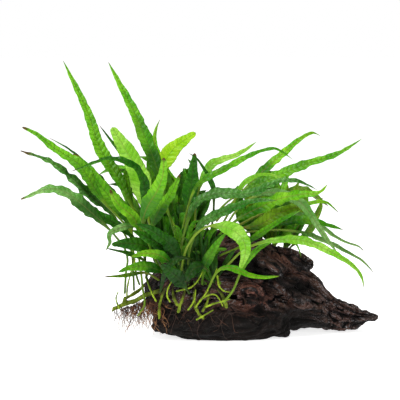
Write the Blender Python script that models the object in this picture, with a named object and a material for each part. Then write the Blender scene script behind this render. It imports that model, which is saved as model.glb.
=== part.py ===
"""Java fern grown on a chunk of driftwood, as one still object.

The chunk lies on a flat rest face at z = 0 with its tail to the right (+X).
Creeping rhizomes cling to its front, its left end and its top, and the fronds
rise from them, each frond being one stalk and one blade.
Lengths below are in millimetres; the meshes are made in metres.
"""

import math
from typing import NamedTuple

import bmesh
import bpy
import numpy as np
from mathutils import Vector
from mathutils.bvhtree import BVHTree

MM = 0.001

# Driving dimensions of the wood.
WOOD_VOXEL = 2.4
WOOD_KEEP = 0.1
LIMB_SIDES = 24
LUMP_SIZE = 24.0
LUMP_HEIGHT = 6.0
REST_BOX = 400.0

# Driving dimensions of the plant.
FROND_STEPS = 15
STALK_RADIUS = 0.95
BLADE_THICKNESS = 1.3
BLADE_FOLD = 0.16
BLADE_WIDEST = 0.38
TAPER_POWER = 0.75
LEAN_POWER = 1.5
RHIZOME_SIDES = 7
RHIZOME_VOXEL = 0.7
RHIZOME_KEEP = 0.07
STUB_SHARE = 0.86
CUT_STEP = 0.3
GAP = 0.6
SETTLE_TURNS = 12
SETTLE_LAST = 3
CURVE_STEPS = 12

# How far fronds lean out of the middle depth of the bush, and the length that leans in full.
# A leaning row drops or rises a little, so that the bush keeps its face seen from the front.
MIDDLE_DEPTH = -20.0
LEAN = 1.3
LEAN_LENGTH = 110.0
LEAN_RISE = -0.14

# The bush opens towards its back: rows set deeper stand further from the middle of its face.
FACE_MIDDLE = (-25.5, 118.0)
OPENING = 1 / 1500

# A blade whose edges run level rolls in full; one that stands more upright than this rolls less.
UPRIGHT = 0.3

# How fronds that cross ease apart in depth.
EASE_ROUNDS = 70
EASE_CLEARANCE = 4.2
EASE_FINE = 3
EASE_PACE = 0.28
EASE_SPREAD = 1.3
EASE_ACROSS = (-0.95, -0.5, 0.0, 0.5, 0.95)


class Limb(NamedTuple):
    """A swelling of the wood: rows of x, y, z, half depth and half height."""

    name: str
    rows: tuple


class Stem(NamedTuple):
    """A creeping rhizome: its radius, its route and the routes of its stubs."""

    name: str
    radius: float
    route: tuple
    stubs: tuple


class Frond(NamedTuple):
    """One frond: blade width, stalk share of the length, roll at both ends, tip power and route.

    It may lean out of the middle of the bush, and may turn its face to the back.
    """

    name: str
    width: float
    stalk: float
    roll: tuple
    tip: float
    route: tuple
    leans: bool = True
    faces_back: bool = False


POINTED = 1.7
BLUNT = 5.0

LIMBS = (
    Limb("trunk", (
        (-75, -22, 35, 4, 4),
        (-68, -19, 35, 17, 13),
        (-54, -8, 36, 31, 27),
        (-32, 0, 40, 38, 40),
        (-5, 2, 42, 40, 44),
        (20, 4, 39, 37, 41),
        (40, 5, 35, 31, 34),
        (56, 3, 32, 26, 26),
        (70, 1, 28, 20, 22),
        (84, 0, 22, 15, 16),
        (96, 0, 18.5, 12, 12.5),
        (108, 1, 16.5, 9.5, 10.5),
        (118, 3, 15, 8, 8.5),
        (126, 4, 14, 6, 6),
        (131, 5, 13.5, 4, 4),
        (132, 5, 13.5, 2, 2),
    )),
    Limb("keel", (
        (-68, -22, 22, 6, 7),
        (-60, -27, 18, 12, 14),
        (-30, -31, 17, 15, 18),
        (10, -32, 17, 15, 18),
        (40, -25, 16, 14, 16),
        (49, -20, 14, 11, 12),
        (54, -17, 13, 3, 4),
    )),
    Limb("top_ridge", (
        (-20, 8, 72, 12, 8),
        (6, 6, 72, 18, 11),
        (34, 2, 67, 15, 9),
        (54, -2, 63, 10, 6.5),
        (66, -3, 61, 7, 4.5),
        (73, -3, 59.5, 5, 3),
        (77, -3, 59, 2, 1.5),
    )),
    Limb("front_ridge", (
        (14, -24, 66, 5, 5),
        (24, -27, 64, 9, 8),
        (40, -28, 57, 11, 9),
        (54, -23, 46, 11, 10),
        (67, -16, 34, 10, 10),
        (80, -9, 25, 9, 8),
        (92, -4, 20, 3, 4),
    )),
    Limb("back_root", (
        (-40, 28, 30, 8, 10),
        (-12, 36, 22, 12, 18),
        (25, 38, 18, 11, 16),
        (58, 30, 14, 8, 10),
        (76, 24, 12, 2.5, 3),
    )),
    Limb("red_lump", (
        (6, -38, 42, 3, 3),
        (12, -41, 41, 7, 7),
        (24, -40, 39, 8, 8),
        (33, -36, 36, 3, 3),
    )),
)

# Hollows in the wood: centre and half sizes.
HOLLOWS = (
    ((47, -42, 34), (15, 12, 8)),
    ((-2, -46, 48), (9, 8, 7)),
    ((59, -26, 55), (15, 19, 6)),
    ((-28, 42, 52), (16, 10, 11)),
    ((34, 44, 45), (20, 12, 9)),
)

STEMS = (
    Stem("rhizome_left", 2.3, (
        (-107, -26, 22), (-100, -26, 25), (-92, -25, 29), (-84, -25, 30),
        (-78, -27, 33), (-73, -34, 38), (-66, -41, 42), (-58, -45, 45),
    ), (
        ((-91, -25, 29), (-90, -26, 33), (-89, -27, 36)),
    )),
    Stem("rhizome_upper_left", 1.7, (
        (-90, -9, 31), (-83, -8, 34), (-77, -7, 38), (-71, -6, 44), (-64, -5, 52), (-58, -4, 60),
    ), ()),
    Stem("rhizome_front", 1.8, (
        (-56, -46, 46), (-48, -48, 54), (-38, -50, 53), (-29, -51, 58),
        (-18, -52, 54), (-10, -53, 49), (-5, -53, 40), (-3, -52, 31),
    ), (
        ((-54, -47, 49), (-59, -47, 40), (-61, -46, 30), (-60, -46, 20)),
        ((-47, -48, 54), (-50, -51, 46), (-48, -51, 38), (-44, -52, 33)),
        ((-36, -50, 54), (-38, -53, 43), (-43, -53, 34), (-44, -53, 27)),
        ((-28, -51, 58), (-32, -54, 42), (-30, -54, 30), (-27, -54, 19), (-22, -54, 22)),
        ((-19, -52, 54), (-16, -55, 42), (-20, -55, 33), (-24, -55, 28)),
    )),
    Stem("rhizome_top", 2.3, (
        (-56, -26, 66), (-46, -24, 77), (-34, -20, 85), (-20, -16, 89), (-6, -12, 90), (8, -10, 88),
    ), ()),
)

# The space that the hanging hair roots fill: centre and half sizes.
ROOT_TUFT = ((-84, -26, 16), (13, 8, 8))

# The spaces that the many small inner fronds fill, behind and under the fan: centre and half sizes.
INNER_BUNCHES = {
    "inner_fronds_left": ((-59, 37, 113), (55, 9, 45)),
    "inner_fronds_right": ((42, 41, 111), (44, 9, 26)),
    "inner_fronds_front": ((-29, -40, 80), (37, 5, 31)),
}

FRONDS = (
    Frond("frond_tall_left", 14, 0.22, (20, 35), POINTED, (
        (-58, -8, 68), (-72, 0, 86), (-92, 7, 128), (-110, 10, 158), (-121, 12, 190), (-141, 14, 233))),
    Frond("frond_tall_middle", 14.5, 0.2, (10, 30), POINTED, (
        (-46, -8, 84), (-53, -4, 108), (-61, -2, 140), (-77, 0, 181), (-88, 1, 204), (-103, 2, 233))),
    Frond("frond_upper_left", 12, 0.5, (25, 25), POINTED, (
        (-79, -39, 20), (-74, -43, 27), (-73, -46, 36), (-75, -44, 46), (-77, -37, 62), (-84, -28, 90),
        (-110, -22, 120), (-127, -20, 147), (-150, -18, 163), (-168, -16, 177), (-176, -16, 180))),
    Frond("frond_wavy_left", 12, 0.35, (35, 50), POINTED, (
        (-82, -11, 38), (-83, -13, 62), (-86, -16, 80), (-101, -19, 107), (-118, -22, 121),
        (-134, -24, 137), (-153, -25, 152), (-178, -25, 161))),
    Frond("frond_low_left", 14.5, 0.4, (20, 45), POINTED, (
        (-90, -30, 38), (-89, -31, 55), (-88, -33, 74), (-100, -35, 92), (-115, -37, 107),
        (-132, -38, 122), (-144, -38, 129), (-155, -38, 130), (-166, -37, 126), (-178, -36, 121))),
    Frond("frond_arched_left", 11, 0.33, (30, 60), POINTED, (
        (-66, -49, 40), (-69, -48, 48), (-72, -42, 60), (-72, -34, 90), (-72, -34, 126),
        (-78, -35, 146), (-91, -36, 154), (-106, -37, 156), (-119, -38, 151), (-136, -38, 145))),
    Frond("frond_broad_left", 17, 0.33, (10, 20), POINTED, (
        (-77, -4, 42), (-80, -7, 52), (-82, -9, 68), (-86, -11, 99), (-101, -13, 118),
        (-112, -14, 132), (-122, -15, 147), (-133, -15, 157))),
    Frond("frond_thin_left", 9, 0.2, (60, 75), POINTED, (
        (-58, 2, 72), (-70, 5, 88), (-88, 7, 108), (-108, 8, 131), (-129, 9, 152),
        (-143, 9, 162), (-154, 9, 168))),
    Frond("frond_dark_low_left", 11, 0.23, (30, 40), POINTED, (
        (-70, -28, 55), (-76, -28, 80), (-96, -29, 98), (-114, -30, 108), (-129, -30, 120),
        (-143, -30, 129), (-152, -30, 132))),
    Frond("frond_small_dark_left", 7, 0.3, (30, 45), POINTED, (
        (-62, -2, 74), (-75, 2, 113), (-88, 4, 148), (-99, 5, 163), (-111, 6, 179))),
    Frond("frond_pale_blunt", 17.5, 0.26, (5, 10), BLUNT, (
        (-60, -12, 66), (-69, -8, 98), (-77, -6, 136), (-88, -4, 158), (-100, -3, 178))),
    Frond("frond_yellow_crown", 16.5, 0.5, (10, 15), 2.6, (
        (-42, -2, 82), (-51, 5, 100), (-60, 9, 118), (-60, 9, 136), (-53, 9, 151), (-42, 9, 163),
        (-29, 9, 172))),
    Frond("frond_front_bright", 15, 0.4, (5, 20), 2.4, (
        (-58, -50, 60), (-68, -53, 82), (-74, -55, 102), (-70, -57, 118), (-62, -57, 131),
        (-57, -56, 145), (-56, -54, 160))),
    Frond("frond_front_middle", 12.5, 0.4, (15, 25), POINTED, (
        (-54, -50, 58), (-62, -49, 80), (-66, -49, 98), (-60, -50, 114), (-51, -50, 126),
        (-47, -49, 134), (-42, -48, 145))),
    Frond("frond_small_yellow", 11, 0.23, (15, 15), 2.2, (
        (-66, -40, 74), (-74, -42, 92), (-83, -43, 107), (-94, -44, 117), (-99, -44, 124),
        (-102, -44, 131))),
    Frond("frond_curled_pale", 7, 0.3, (25, 10), POINTED, (
        (-67, -37, 82), (-78, -39, 97), (-91, -41, 98), (-103, -43, 92), (-102, -44, 86),
        (-106, -45, 78))),
    Frond("frond_oval_green", 14, 0.26, (10, 10), 2.6, (
        (-56, -48, 54), (-62, -48, 72), (-72, -48, 82), (-86, -48, 85), (-101, -48, 84))),
    Frond("frond_dark_centre_upper", 14.5, 0.18, (15, 25), POINTED, (
        (-38, -54, 56), (-46, -52, 78), (-58, -52, 90), (-69, -53, 98), (-81, -53, 103))),
    Frond("frond_dark_centre_lower", 14.5, 0.18, (15, 20), POINTED, (
        (-46, -50, 56), (-51, -49, 74), (-60, -49, 84), (-71, -49, 91), (-84, -49, 97))),
    Frond("frond_low_bright", 11, 0.2, (20, 20), POINTED, (
        (-47, -53, 52), (-57, -54, 61), (-71, -55, 66), (-84, -55, 65), (-96, -55, 61))),
    Frond("frond_low_brown", 5, 0.26, (35, 45), POINTED, (
        (-60, -48, 52), (-70, -49, 59), (-80, -49, 59), (-90, -49, 57), (-108, -48, 56))),
    Frond("frond_low_thin", 5, 0.26, (35, 45), POINTED, (
        (-63, -44, 58), (-74, -43, 70), (-89, -43, 76), (-106, -44, 80))),
    Frond("frond_folded_pale", 10, 0.2, (10, 15), POINTED, (
        (-42, -55, 58), (-50, -57, 68), (-60, -58, 76), (-72, -59, 78), (-85, -59, 75))),
    Frond("frond_low_dark_broad", 14.5, 0.13, (10, 15), 2.2, (
        (-34, -58, 42), (-42, -59, 54), (-50, -60, 62), (-60, -60, 69))),
    Frond("frond_hanging_spotted", 6.5, 0.2, (10, 20), POINTED, (
        (-27, -52, 66), (-33, -58, 73), (-41, -62, 75), (-49, -63, 71), (-55, -63, 62),
        (-58, -62, 52), (-60, -61, 41)), False),
    Frond("frond_small_lobed", 10.5, 0.2, (5, 10), 2.6, (
        (-18, -52, 62), (-22, -58, 66), (-27, -62, 67), (-33, -63, 63), (-38, -63, 54)), False),
    Frond("frond_top_dark", 14.5, 0.23, (5, 15), 2.2, (
        (-38, -12, 90), (-36, -10, 113), (-32, -9, 136), (-30, -9, 157))),
    Frond("frond_curly_dark", 6, 0.3, (30, 45), POINTED, (
        (-16, -24, 92), (-14, -21, 108), (-14, -19, 126), (-17, -18, 135), (-23, -18, 146),
        (-29, -18, 154), (-35, -18, 158))),
    Frond("frond_right_rising_pale", 9.5, 0.28, (20, 35), POINTED, (
        (-30, -6, 92), (-28, -2, 120), (-18, 0, 143), (-9, 2, 149), (1, 3, 152), (10, 4, 156),
        (23, 5, 165))),
    Frond("frond_right_arched", 9, 0.23, (35, 50), POINTED, (
        (-42, -28, 86), (-36, -29, 112), (-27, -30, 133), (-5, -31, 146), (17, -32, 158),
        (35, -33, 164), (44, -33, 161), (54, -33, 154))),
    Frond("frond_right_hooked", 10.5, 0.26, (35, 30), POINTED, (
        (-12, 4, 96), (4, 11, 114), (28, 15, 138), (46, 17, 154), (60, 18, 166), (71, 18, 171),
        (77, 18, 168))),
    Frond("frond_right_long", 12.5, 0.2, (30, 40), POINTED, (
        (-20, -4, 94), (-2, 0, 114), (18, 1, 125), (45, 2, 138), (65, 2, 146), (84, 2, 152),
        (97, 2, 158), (112, 2, 168))),
    Frond("frond_right_glossy", 13, 0.17, (35, 50), POINTED, (
        (-44, -52, 66), (-38, -50, 98), (-28, -46, 120), (-10, -43, 127), (12, -41, 126),
        (26, -41, 130), (40, -41, 137), (54, -40, 138), (66, -39, 134), (75, -38, 129))),
    Frond("frond_right_dark", 11, 0.2, (30, 40), POINTED, (
        (-36, -50, 66), (-33, -49, 84), (-25, -48, 101), (-10, -48, 110), (6, -48, 117),
        (22, -48, 122), (40, -48, 122))),
    Frond("frond_right_pale_arc", 7, 0.3, (40, 50), POINTED, (
        (-8, -14, 94), (1, -13, 110), (7, -12, 124), (13, -12, 132), (21, -12, 137),
        (31, -12, 139), (48, -12, 135))),
    Frond("frond_right_bright", 15, 0.2, (20, 40), POINTED, (
        (-14, -34, 84), (-4, -31, 95), (12, -28, 106), (26, -27, 113), (42, -27, 120),
        (61, -27, 124), (75, -27, 125), (83, -27, 133))),
    Frond("frond_right_olive", 15, 0.2, (10, 30), 2.2, (
        (-4, -16, 92), (10, -18, 94), (26, -19, 97), (39, -18, 105), (52, -17, 110), (64, -16, 113))),
    Frond("frond_right_narrow_rib", 7, 0.2, (25, 35), POINTED, (
        (-10, -40, 72), (8, -38, 80), (25, -36, 91), (42, -35, 102), (61, -34, 112))),
    Frond("frond_right_neck", 12, 0.3, (35, 45), POINTED, (
        (8, -8, 92), (28, -4, 96), (44, -3, 96), (56, -2, 98), (68, -2, 98), (84, -2, 94),
        (97, -2, 90))),
    Frond("frond_right_drooping", 10.5, 0.23, (25, 15), POINTED, (
        (-6, -22, 92), (8, -21, 112), (28, -20, 124), (48, -20, 122), (61, -20, 115),
        (69, -20, 105), (78, -20, 91), (93, -20, 71))),
    Frond("frond_right_low_thin", 6.5, 0.26, (45, 40), POINTED, (
        (6, 2, 92), (26, 8, 102), (50, 12, 104), (74, 12, 94), (86, 12, 85), (98, 12, 78),
        (110, 12, 74), (116, 12, 68))),
    Frond("frond_right_lowest_thin", 6.5, 0.26, (45, 40), POINTED, (
        (12, 10, 86), (34, 12, 88), (60, 13, 86), (86, 16, 76), (99, 18, 69), (114, 20, 60),
        (124, 21, 49))),
    Frond("frond_right_pair", 6.5, 0.3, (35, 40), POINTED, (
        (4, -16, 94), (30, -11, 106), (62, -9, 112), (74, -8, 115), (83, -8, 114), (93, -8, 105))),
    Frond("frond_right_pale_long", 9.5, 0.2, (35, 25), POINTED, (
        (-6, -52, 62), (12, -52, 80), (32, -50, 87), (56, -47, 88), (71, -45, 84), (84, -44, 78),
        (98, -43, 70), (108, -42, 62), (113, -41, 54), (115, -41, 44))),
    Frond("frond_over_wood_arc", 6, 0.23, (30, 40), POINTED, (
        (-6, -57, 34), (3, -58, 46), (9, -58, 60), (20, -56, 77), (32, -53, 86), (44, -50, 90),
        (52, -49, 88), (58, -48, 82), (61, -47, 72)), False),
    Frond("frond_over_wood_wave", 7, 0.17, (25, 35), POINTED, (
        (-18, -60, 48), (-13, -61, 59), (-7, -61, 65), (4, -61, 65), (18, -60, 59),
        (30, -59, 57), (43, -58, 58)), False),
    Frond("frond_bent_pale", 14, 0.46, (10, 5), 2.4, (
        (-42, -56, 60), (-38, -57, 79), (-29, -57, 94), (-18, -57, 101), (-7, -57, 101),
        (4, -57, 97), (12, -57, 88), (13, -57, 77), (9, -57, 65))),
    Frond("frond_fan_upper", 10, 0.13, (15, 20), POINTED, (
        (-24, -57, 50), (-21, -53, 66), (-14, -50, 80), (-3, -48, 95))),
    Frond("frond_back_left", 14, 0.3, (5, 20), POINTED, (
        (-40, 36, 58), (-46, 50, 74), (-60, 60, 96), (-78, 71, 120), (-96, 86, 132),
        (-112, 98, 124)), False, True),
    Frond("frond_back_middle", 9.5, 0.3, (5, 15), POINTED, (
        (-20, 39, 60), (-28, 50, 84), (-44, 60, 114), (-60, 70, 142), (-64, 78, 160),
        (-59, 84, 174)), False, True),
    Frond("frond_back_right", 14, 0.3, (10, 30), POINTED, (
        (14, 40, 60), (22, 54, 82), (42, 63, 106), (62, 75, 114), (84, 92, 98)), False, True),
)

WOOD_FINISH = ("wet_wood", (0.055, 0.038, 0.030, 1.0), 0.45)
RHIZOME_FINISH = ("rhizome_skin", (0.19, 0.15, 0.05, 1.0), 0.55)
ROOT_FINISH = ("root_hair", (0.10, 0.045, 0.022, 1.0), 0.85)
LEAF_FINISH = ("leaf", (0.09, 0.20, 0.03, 1.0), 0.35)


def clear_scene():
    """Removes every object that the file opened with."""
    for thing in list(bpy.data.objects):
        bpy.data.objects.remove(thing, do_unlink=True)


def finish(name, colour, roughness):
    """A Principled material of one colour."""
    material = bpy.data.materials.new(name)
    material.use_nodes = True
    shader = material.node_tree.nodes["Principled BSDF"]
    shader.inputs["Base Color"].default_value = colour
    shader.inputs["Roughness"].default_value = roughness
    shader.inputs["Metallic"].default_value = 0.0
    return material


def add_object(name, bm, look):
    """Makes a named object with its own material from a bmesh."""
    bmesh.ops.recalc_face_normals(bm, faces=bm.faces)
    mesh = bpy.data.meshes.new(name)
    bm.to_mesh(mesh)
    bm.free()
    mesh.shade_smooth()
    mesh.materials.append(finish(name + "_" + look[0], look[1], look[2]))
    thing = bpy.data.objects.new(name, mesh)
    bpy.context.collection.objects.link(thing)
    return thing


def smooth_route(points, count):
    """Reads count evenly spaced rows from a Catmull-Rom curve through the points."""
    knots = np.array(points, float)
    ends = np.vstack([2 * knots[0] - knots[1], knots, 2 * knots[-1] - knots[-2]])
    dense = []
    for i in range(len(knots) - 1):
        a, b, c, d = ends[i:i + 4]
        for t in np.linspace(0.0, 1.0, CURVE_STEPS, endpoint=False):
            dense.append(0.5 * (2 * b + (c - a) * t + (2 * a - 5 * b + 4 * c - d) * t**2
                                + (3 * b - a - 3 * c + d) * t**3))
    dense.append(knots[-1])
    dense = np.array(dense)
    run = np.concatenate([[0.0], np.cumsum(np.linalg.norm(np.diff(dense[:, :3], axis=0), axis=1))])
    wanted = np.linspace(0.0, run[-1], count)
    return np.stack([np.interp(wanted, run, dense[:, k]) for k in range(dense.shape[1])], axis=1)


def unit(vectors):
    """Vectors of length one along the last axis."""
    return vectors / np.maximum(np.linalg.norm(vectors, axis=-1, keepdims=True), 1e-9)


def tube_into(bm, steps, sides, place):
    """Adds a closed skin: a grid rolled round a route by place(row, turn), its ends drawn to points."""
    made = bmesh.ops.create_grid(bm, x_segments=sides, y_segments=steps, size=0.5)["verts"]
    for vert in made:
        turn = (vert.co.x + 0.5) % 1.0
        row = round((vert.co.y + 0.5) * steps)
        vert.co = Vector(place(row, turn)) * MM
    bmesh.ops.remove_doubles(bm, verts=made, dist=1e-7)


def limb_place(rows):
    """The place rule of a limb: an ellipse in the YZ plane at each row."""
    last = len(rows) - 1

    def place(row, turn):
        x, y, z, half_depth, half_height = rows[row]
        if row in (0, last):
            return (x, y, z)
        angle = 2 * math.pi * turn
        return (x, y + half_depth * math.cos(angle), z + half_height * math.sin(angle))

    return place


def round_place(centres, radius):
    """The place rule of a round stem whose ends are drawn to points."""
    last = len(centres) - 1
    ahead = unit(np.gradient(centres, axis=0))
    across = unit(np.cross(ahead, (0.13, 0.21, 0.97)))
    other = np.cross(ahead, across)

    def place(row, turn):
        if row in (0, last):
            return centres[row]
        angle = 2 * math.pi * turn
        return centres[row] + radius * (across[row] * math.cos(angle) + other[row] * math.sin(angle))

    return place


def cut_ends(route):
    """Adds a row just inside each end of a route, so that the tube round it ends flat."""
    first = route[0] + CUT_STEP * unit(route[1] - route[0])
    last = route[-1] + CUT_STEP * unit(route[-2] - route[-1])
    return np.vstack([route[:1], first, route[1:-1], last, route[-1:]])


def add_cutter(name, bm, owner):
    """Makes a hidden guide object and the Boolean that takes it from its owner."""
    bmesh.ops.recalc_face_normals(bm, faces=bm.faces)
    mesh = bpy.data.meshes.new(name)
    bm.to_mesh(mesh)
    bm.free()
    guide = bpy.data.objects.new(name, mesh)
    guide.hide_render = True
    guide.display_type = "WIRE"
    bpy.context.collection.objects.link(guide)
    boolean = owner.modifiers.new(name, "BOOLEAN")
    boolean.operation = "DIFFERENCE"
    boolean.object = guide


def grow_together(thing, voxel, keep):
    """Turns the shapes of an object that cross into one skin with fewer faces."""
    skin = thing.modifiers.new("one_skin", "REMESH")
    skin.mode = "VOXEL"
    skin.voxel_size = voxel * MM
    skin.use_smooth_shade = True
    fewer = thing.modifiers.new("fewer_faces", "DECIMATE")
    fewer.ratio = keep


def weather(wood):
    """Raises and sinks the skin in soft lumps, before its faces are thinned out."""
    lumps = bpy.data.textures.new("wood_lumps", "CLOUDS")
    lumps.noise_scale = LUMP_SIZE * MM
    lumps.noise_depth = 2
    uneven = wood.modifiers.new("uneven", "DISPLACE")
    uneven.texture = lumps
    uneven.strength = LUMP_HEIGHT * MM
    uneven.mid_level = 0.55
    wood.modifiers.move(len(wood.modifiers) - 1, 1)


def add_egg(bm, centre, half):
    """Adds an egg-shaped ball of the given centre and half sizes to a bmesh."""
    made = bmesh.ops.create_uvsphere(bm, u_segments=14, v_segments=9, radius=1.0)["verts"]
    bmesh.ops.scale(bm, verts=made, vec=Vector(half) * MM)
    bmesh.ops.translate(bm, verts=made, vec=Vector(centre) * MM)


def build_wood():
    """The chunk: its limbs grown into one skin, hollowed, and cut flat where it rests."""
    bm = bmesh.new()
    for limb in LIMBS:
        rows = smooth_route(limb.rows, 4 * len(limb.rows))
        tube_into(bm, len(rows) - 1, LIMB_SIDES, limb_place(rows))
    wood = add_object("driftwood", bm, WOOD_FINISH)
    grow_together(wood, WOOD_VOXEL, WOOD_KEEP)
    weather(wood)
    for number, (centre, half) in enumerate(HOLLOWS):
        bm = bmesh.new()
        add_egg(bm, centre, half)
        add_cutter("hollow_{}".format(number), bm, wood)
    bm = bmesh.new()
    made = bmesh.ops.create_cube(bm, size=REST_BOX * MM)["verts"]
    bmesh.ops.translate(bm, verts=made, vec=(0.0, 0.0, -REST_BOX / 2 * MM))
    add_cutter("rest_plane", bm, wood)
    return wood


def skin_tree(objects):
    """A tree of the evaluated faces of some objects, in millimetres."""
    graph = bpy.context.evaluated_depsgraph_get()
    graph.update()
    corners = []
    faces = []
    for thing in objects:
        mesh = thing.evaluated_get(graph).to_mesh()
        start = len(corners)
        corners.extend(vert.co / MM for vert in mesh.vertices)
        faces.extend([start + i for i in face.vertices] for face in mesh.polygons)
    return BVHTree.FromPolygons(corners, faces)


def push_out(tree, centres, reach):
    """Moves each row out of a skin until it is reach clear of it."""
    for row, point in enumerate(centres):
        near, normal, _, distance = tree.find_nearest(Vector(point))
        inside = (Vector(point) - near).dot(normal) < 0
        if inside or distance < reach[row]:
            centres[row] = np.array(near + normal * reach[row])


def settle(tree, centres, reach):
    """Pushes a route out of a skin and smooths it, turn by turn, so that it lies along it."""
    for _ in range(SETTLE_TURNS):
        push_out(tree, centres, reach)
        centres[1:-1] = 0.25 * centres[:-2] + 0.5 * centres[1:-1] + 0.25 * centres[2:]
    for _ in range(SETTLE_LAST):
        push_out(tree, centres, reach)


def build_stem(stem, tree):
    """A rhizome that lies along the wood, with its stubs grown into it."""
    reach = stem.radius + GAP
    route = smooth_route(stem.route, 3 * len(stem.route))
    settle(tree, route, np.full(len(route), reach))
    bm = bmesh.new()
    rows = cut_ends(route)
    tube_into(bm, len(rows) - 1, RHIZOME_SIDES, round_place(rows, stem.radius))
    for points in stem.stubs:
        stub = smooth_route(points, 2 * len(points) + 1)
        root = route[np.argmin(np.linalg.norm(route - stub[0], axis=1))]
        settle(tree, stub, np.full(len(stub), reach))
        stub[0] = root
        rows = cut_ends(stub)
        tube_into(bm, len(rows) - 1, RHIZOME_SIDES, round_place(rows, STUB_SHARE * stem.radius))
    thing = add_object(stem.name, bm, RHIZOME_FINISH)
    if stem.stubs:
        grow_together(thing, RHIZOME_VOXEL, RHIZOME_KEEP)
    return thing


def build_bunch(name, space, look):
    """The closed space that a bunch of fine pieces fills, out to their tips."""
    bm = bmesh.new()
    add_egg(bm, *space)
    return add_object(name, bm, look)


class Leaf:
    """The rows of one frond while it is being placed."""

    def __init__(self, frond):
        """Reads the rows, the sides and the half widths from the frond's route."""
        self.frond = frond
        self.centres = smooth_route(frond.route, FROND_STEPS + 1)
        share = np.linspace(0.0, 1.0, FROND_STEPS + 1)
        length = np.linalg.norm(np.diff(self.centres, axis=0), axis=1).sum()
        lean = LEAN * (self.centres[:, 1].mean() - MIDDLE_DEPTH) * min(1.0, length / LEAN_LENGTH)
        out = lean * share**LEAN_POWER if frond.leans else 0.0 * share
        self.centres[:, 1] += out
        self.centres[:, 2] += LEAN_RISE * out
        apart = 1 + OPENING * (self.centres[:, 1] - MIDDLE_DEPTH)
        self.centres[:, 0] = FACE_MIDDLE[0] + apart * (self.centres[:, 0] - FACE_MIDDLE[0])
        self.centres[:, 2] = FACE_MIDDLE[1] + apart * (self.centres[:, 2] - FACE_MIDDLE[1])
        blade = np.clip((share - frond.stalk) / (1.0 - frond.stalk), 0.0, 1.0)
        swell = np.clip(blade / BLADE_WIDEST, 0.0, 1.0)
        swell = swell * swell * (3 - 2 * swell)
        taper = np.clip(1.0 - blade**frond.tip, 0.0, 1.0)**TAPER_POWER
        self.half = STALK_RADIUS + (frond.width / 2 - STALK_RADIUS) * swell * taper
        self.half = np.where(blade > 0.5, frond.width / 2 * swell * taper, self.half)
        self.flat = swell
        self.roll = np.radians(frond.roll[0] + (frond.roll[1] - frond.roll[0]) * share)

    def frame(self):
        """Sideways and outward unit vectors at every row."""
        ahead = unit(np.gradient(self.centres, axis=0))
        front = np.array((0.0, 1.0 if self.frond.faces_back else -1.0, 0.12))
        side = unit(np.cross(ahead, front))
        side[1:-1] = unit(side[:-2] + 2 * side[1:-1] + side[2:])
        face = unit(np.cross(side, ahead))
        turn = (self.roll * np.tanh(side[:, 2] / UPRIGHT))[:, None]
        side, face = (
            side * np.cos(turn) - face * np.sin(turn),
            face * np.cos(turn) + side * np.sin(turn),
        )
        return side, face

    def samples(self):
        """Points spread over the blade, with their share of the length."""
        side, _ = self.frame()
        rows = np.arange(0.0, FROND_STEPS + 1e-6, 1.0 / EASE_FINE)
        keys = np.arange(FROND_STEPS + 1)
        columns = []
        for across in EASE_ACROSS:
            edge = self.centres + side * (self.half * across)[:, None]
            columns.append(np.stack([np.interp(rows, keys, edge[:, k]) for k in range(3)], axis=1))
        return np.concatenate(columns), np.tile(rows, len(EASE_ACROSS))


def near_pairs(first, second, clearance):
    """Index pairs of points of two clouds that lie closer than the clearance."""
    low = second.min(axis=0) - clearance
    high = second.max(axis=0) + clearance
    mine = np.nonzero(np.all((first >= low) & (first <= high), axis=1))[0]
    if len(mine) == 0:
        return mine, mine, np.zeros(0)
    low = first[mine].min(axis=0) - clearance
    high = first[mine].max(axis=0) + clearance
    theirs = np.nonzero(np.all((second >= low) & (second <= high), axis=1))[0]
    if len(theirs) == 0:
        return theirs, theirs, np.zeros(0)
    gaps = np.linalg.norm(first[mine][:, None] - second[theirs][None], axis=2)
    a, b = np.nonzero(gaps < clearance)
    return mine[a], theirs[b], gaps[a, b]


def ease_apart(leaves, tree):
    """Moves crossing fronds apart in depth, each as a smooth whole, and off the wood."""
    order = {}
    keys = np.arange(FROND_STEPS + 1)
    for _ in range(EASE_ROUNDS):
        clouds = [leaf.samples() for leaf in leaves]
        shift = [np.zeros(FROND_STEPS + 1) for _ in leaves]
        for i in range(len(leaves)):
            for j in range(i + 1, len(leaves)):
                a, b, gaps = near_pairs(clouds[i][0], clouds[j][0], EASE_CLEARANCE)
                if len(a) == 0:
                    continue
                apart = clouds[i][0][a, 1] - clouds[j][0][b, 1]
                if (i, j) not in order:
                    order[i, j] = 1.0 if apart.mean() >= 0 else -1.0
                sign = order[i, j]
                need = np.where(apart * sign < 0, EASE_CLEARANCE - apart * sign, EASE_CLEARANCE - gaps)
                for which, rows, way in ((i, clouds[i][1][a], sign), (j, clouds[j][1][b], -sign)):
                    moved = np.zeros(FROND_STEPS + 1)
                    np.maximum.at(moved, np.round(rows).astype(int), need)
                    shift[which] = shift[which] + way * moved
        for leaf, move in zip(leaves, shift):
            spread = np.exp(-0.5 * ((keys[:, None] - keys[None]) / EASE_SPREAD)**2)
            spread = spread / spread.sum(axis=1, keepdims=True)
            leaf.centres[:, 1] += EASE_PACE * (spread @ move)
            push_out(tree, leaf.centres, leaf.half * 0.25 + STALK_RADIUS + GAP)


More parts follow.
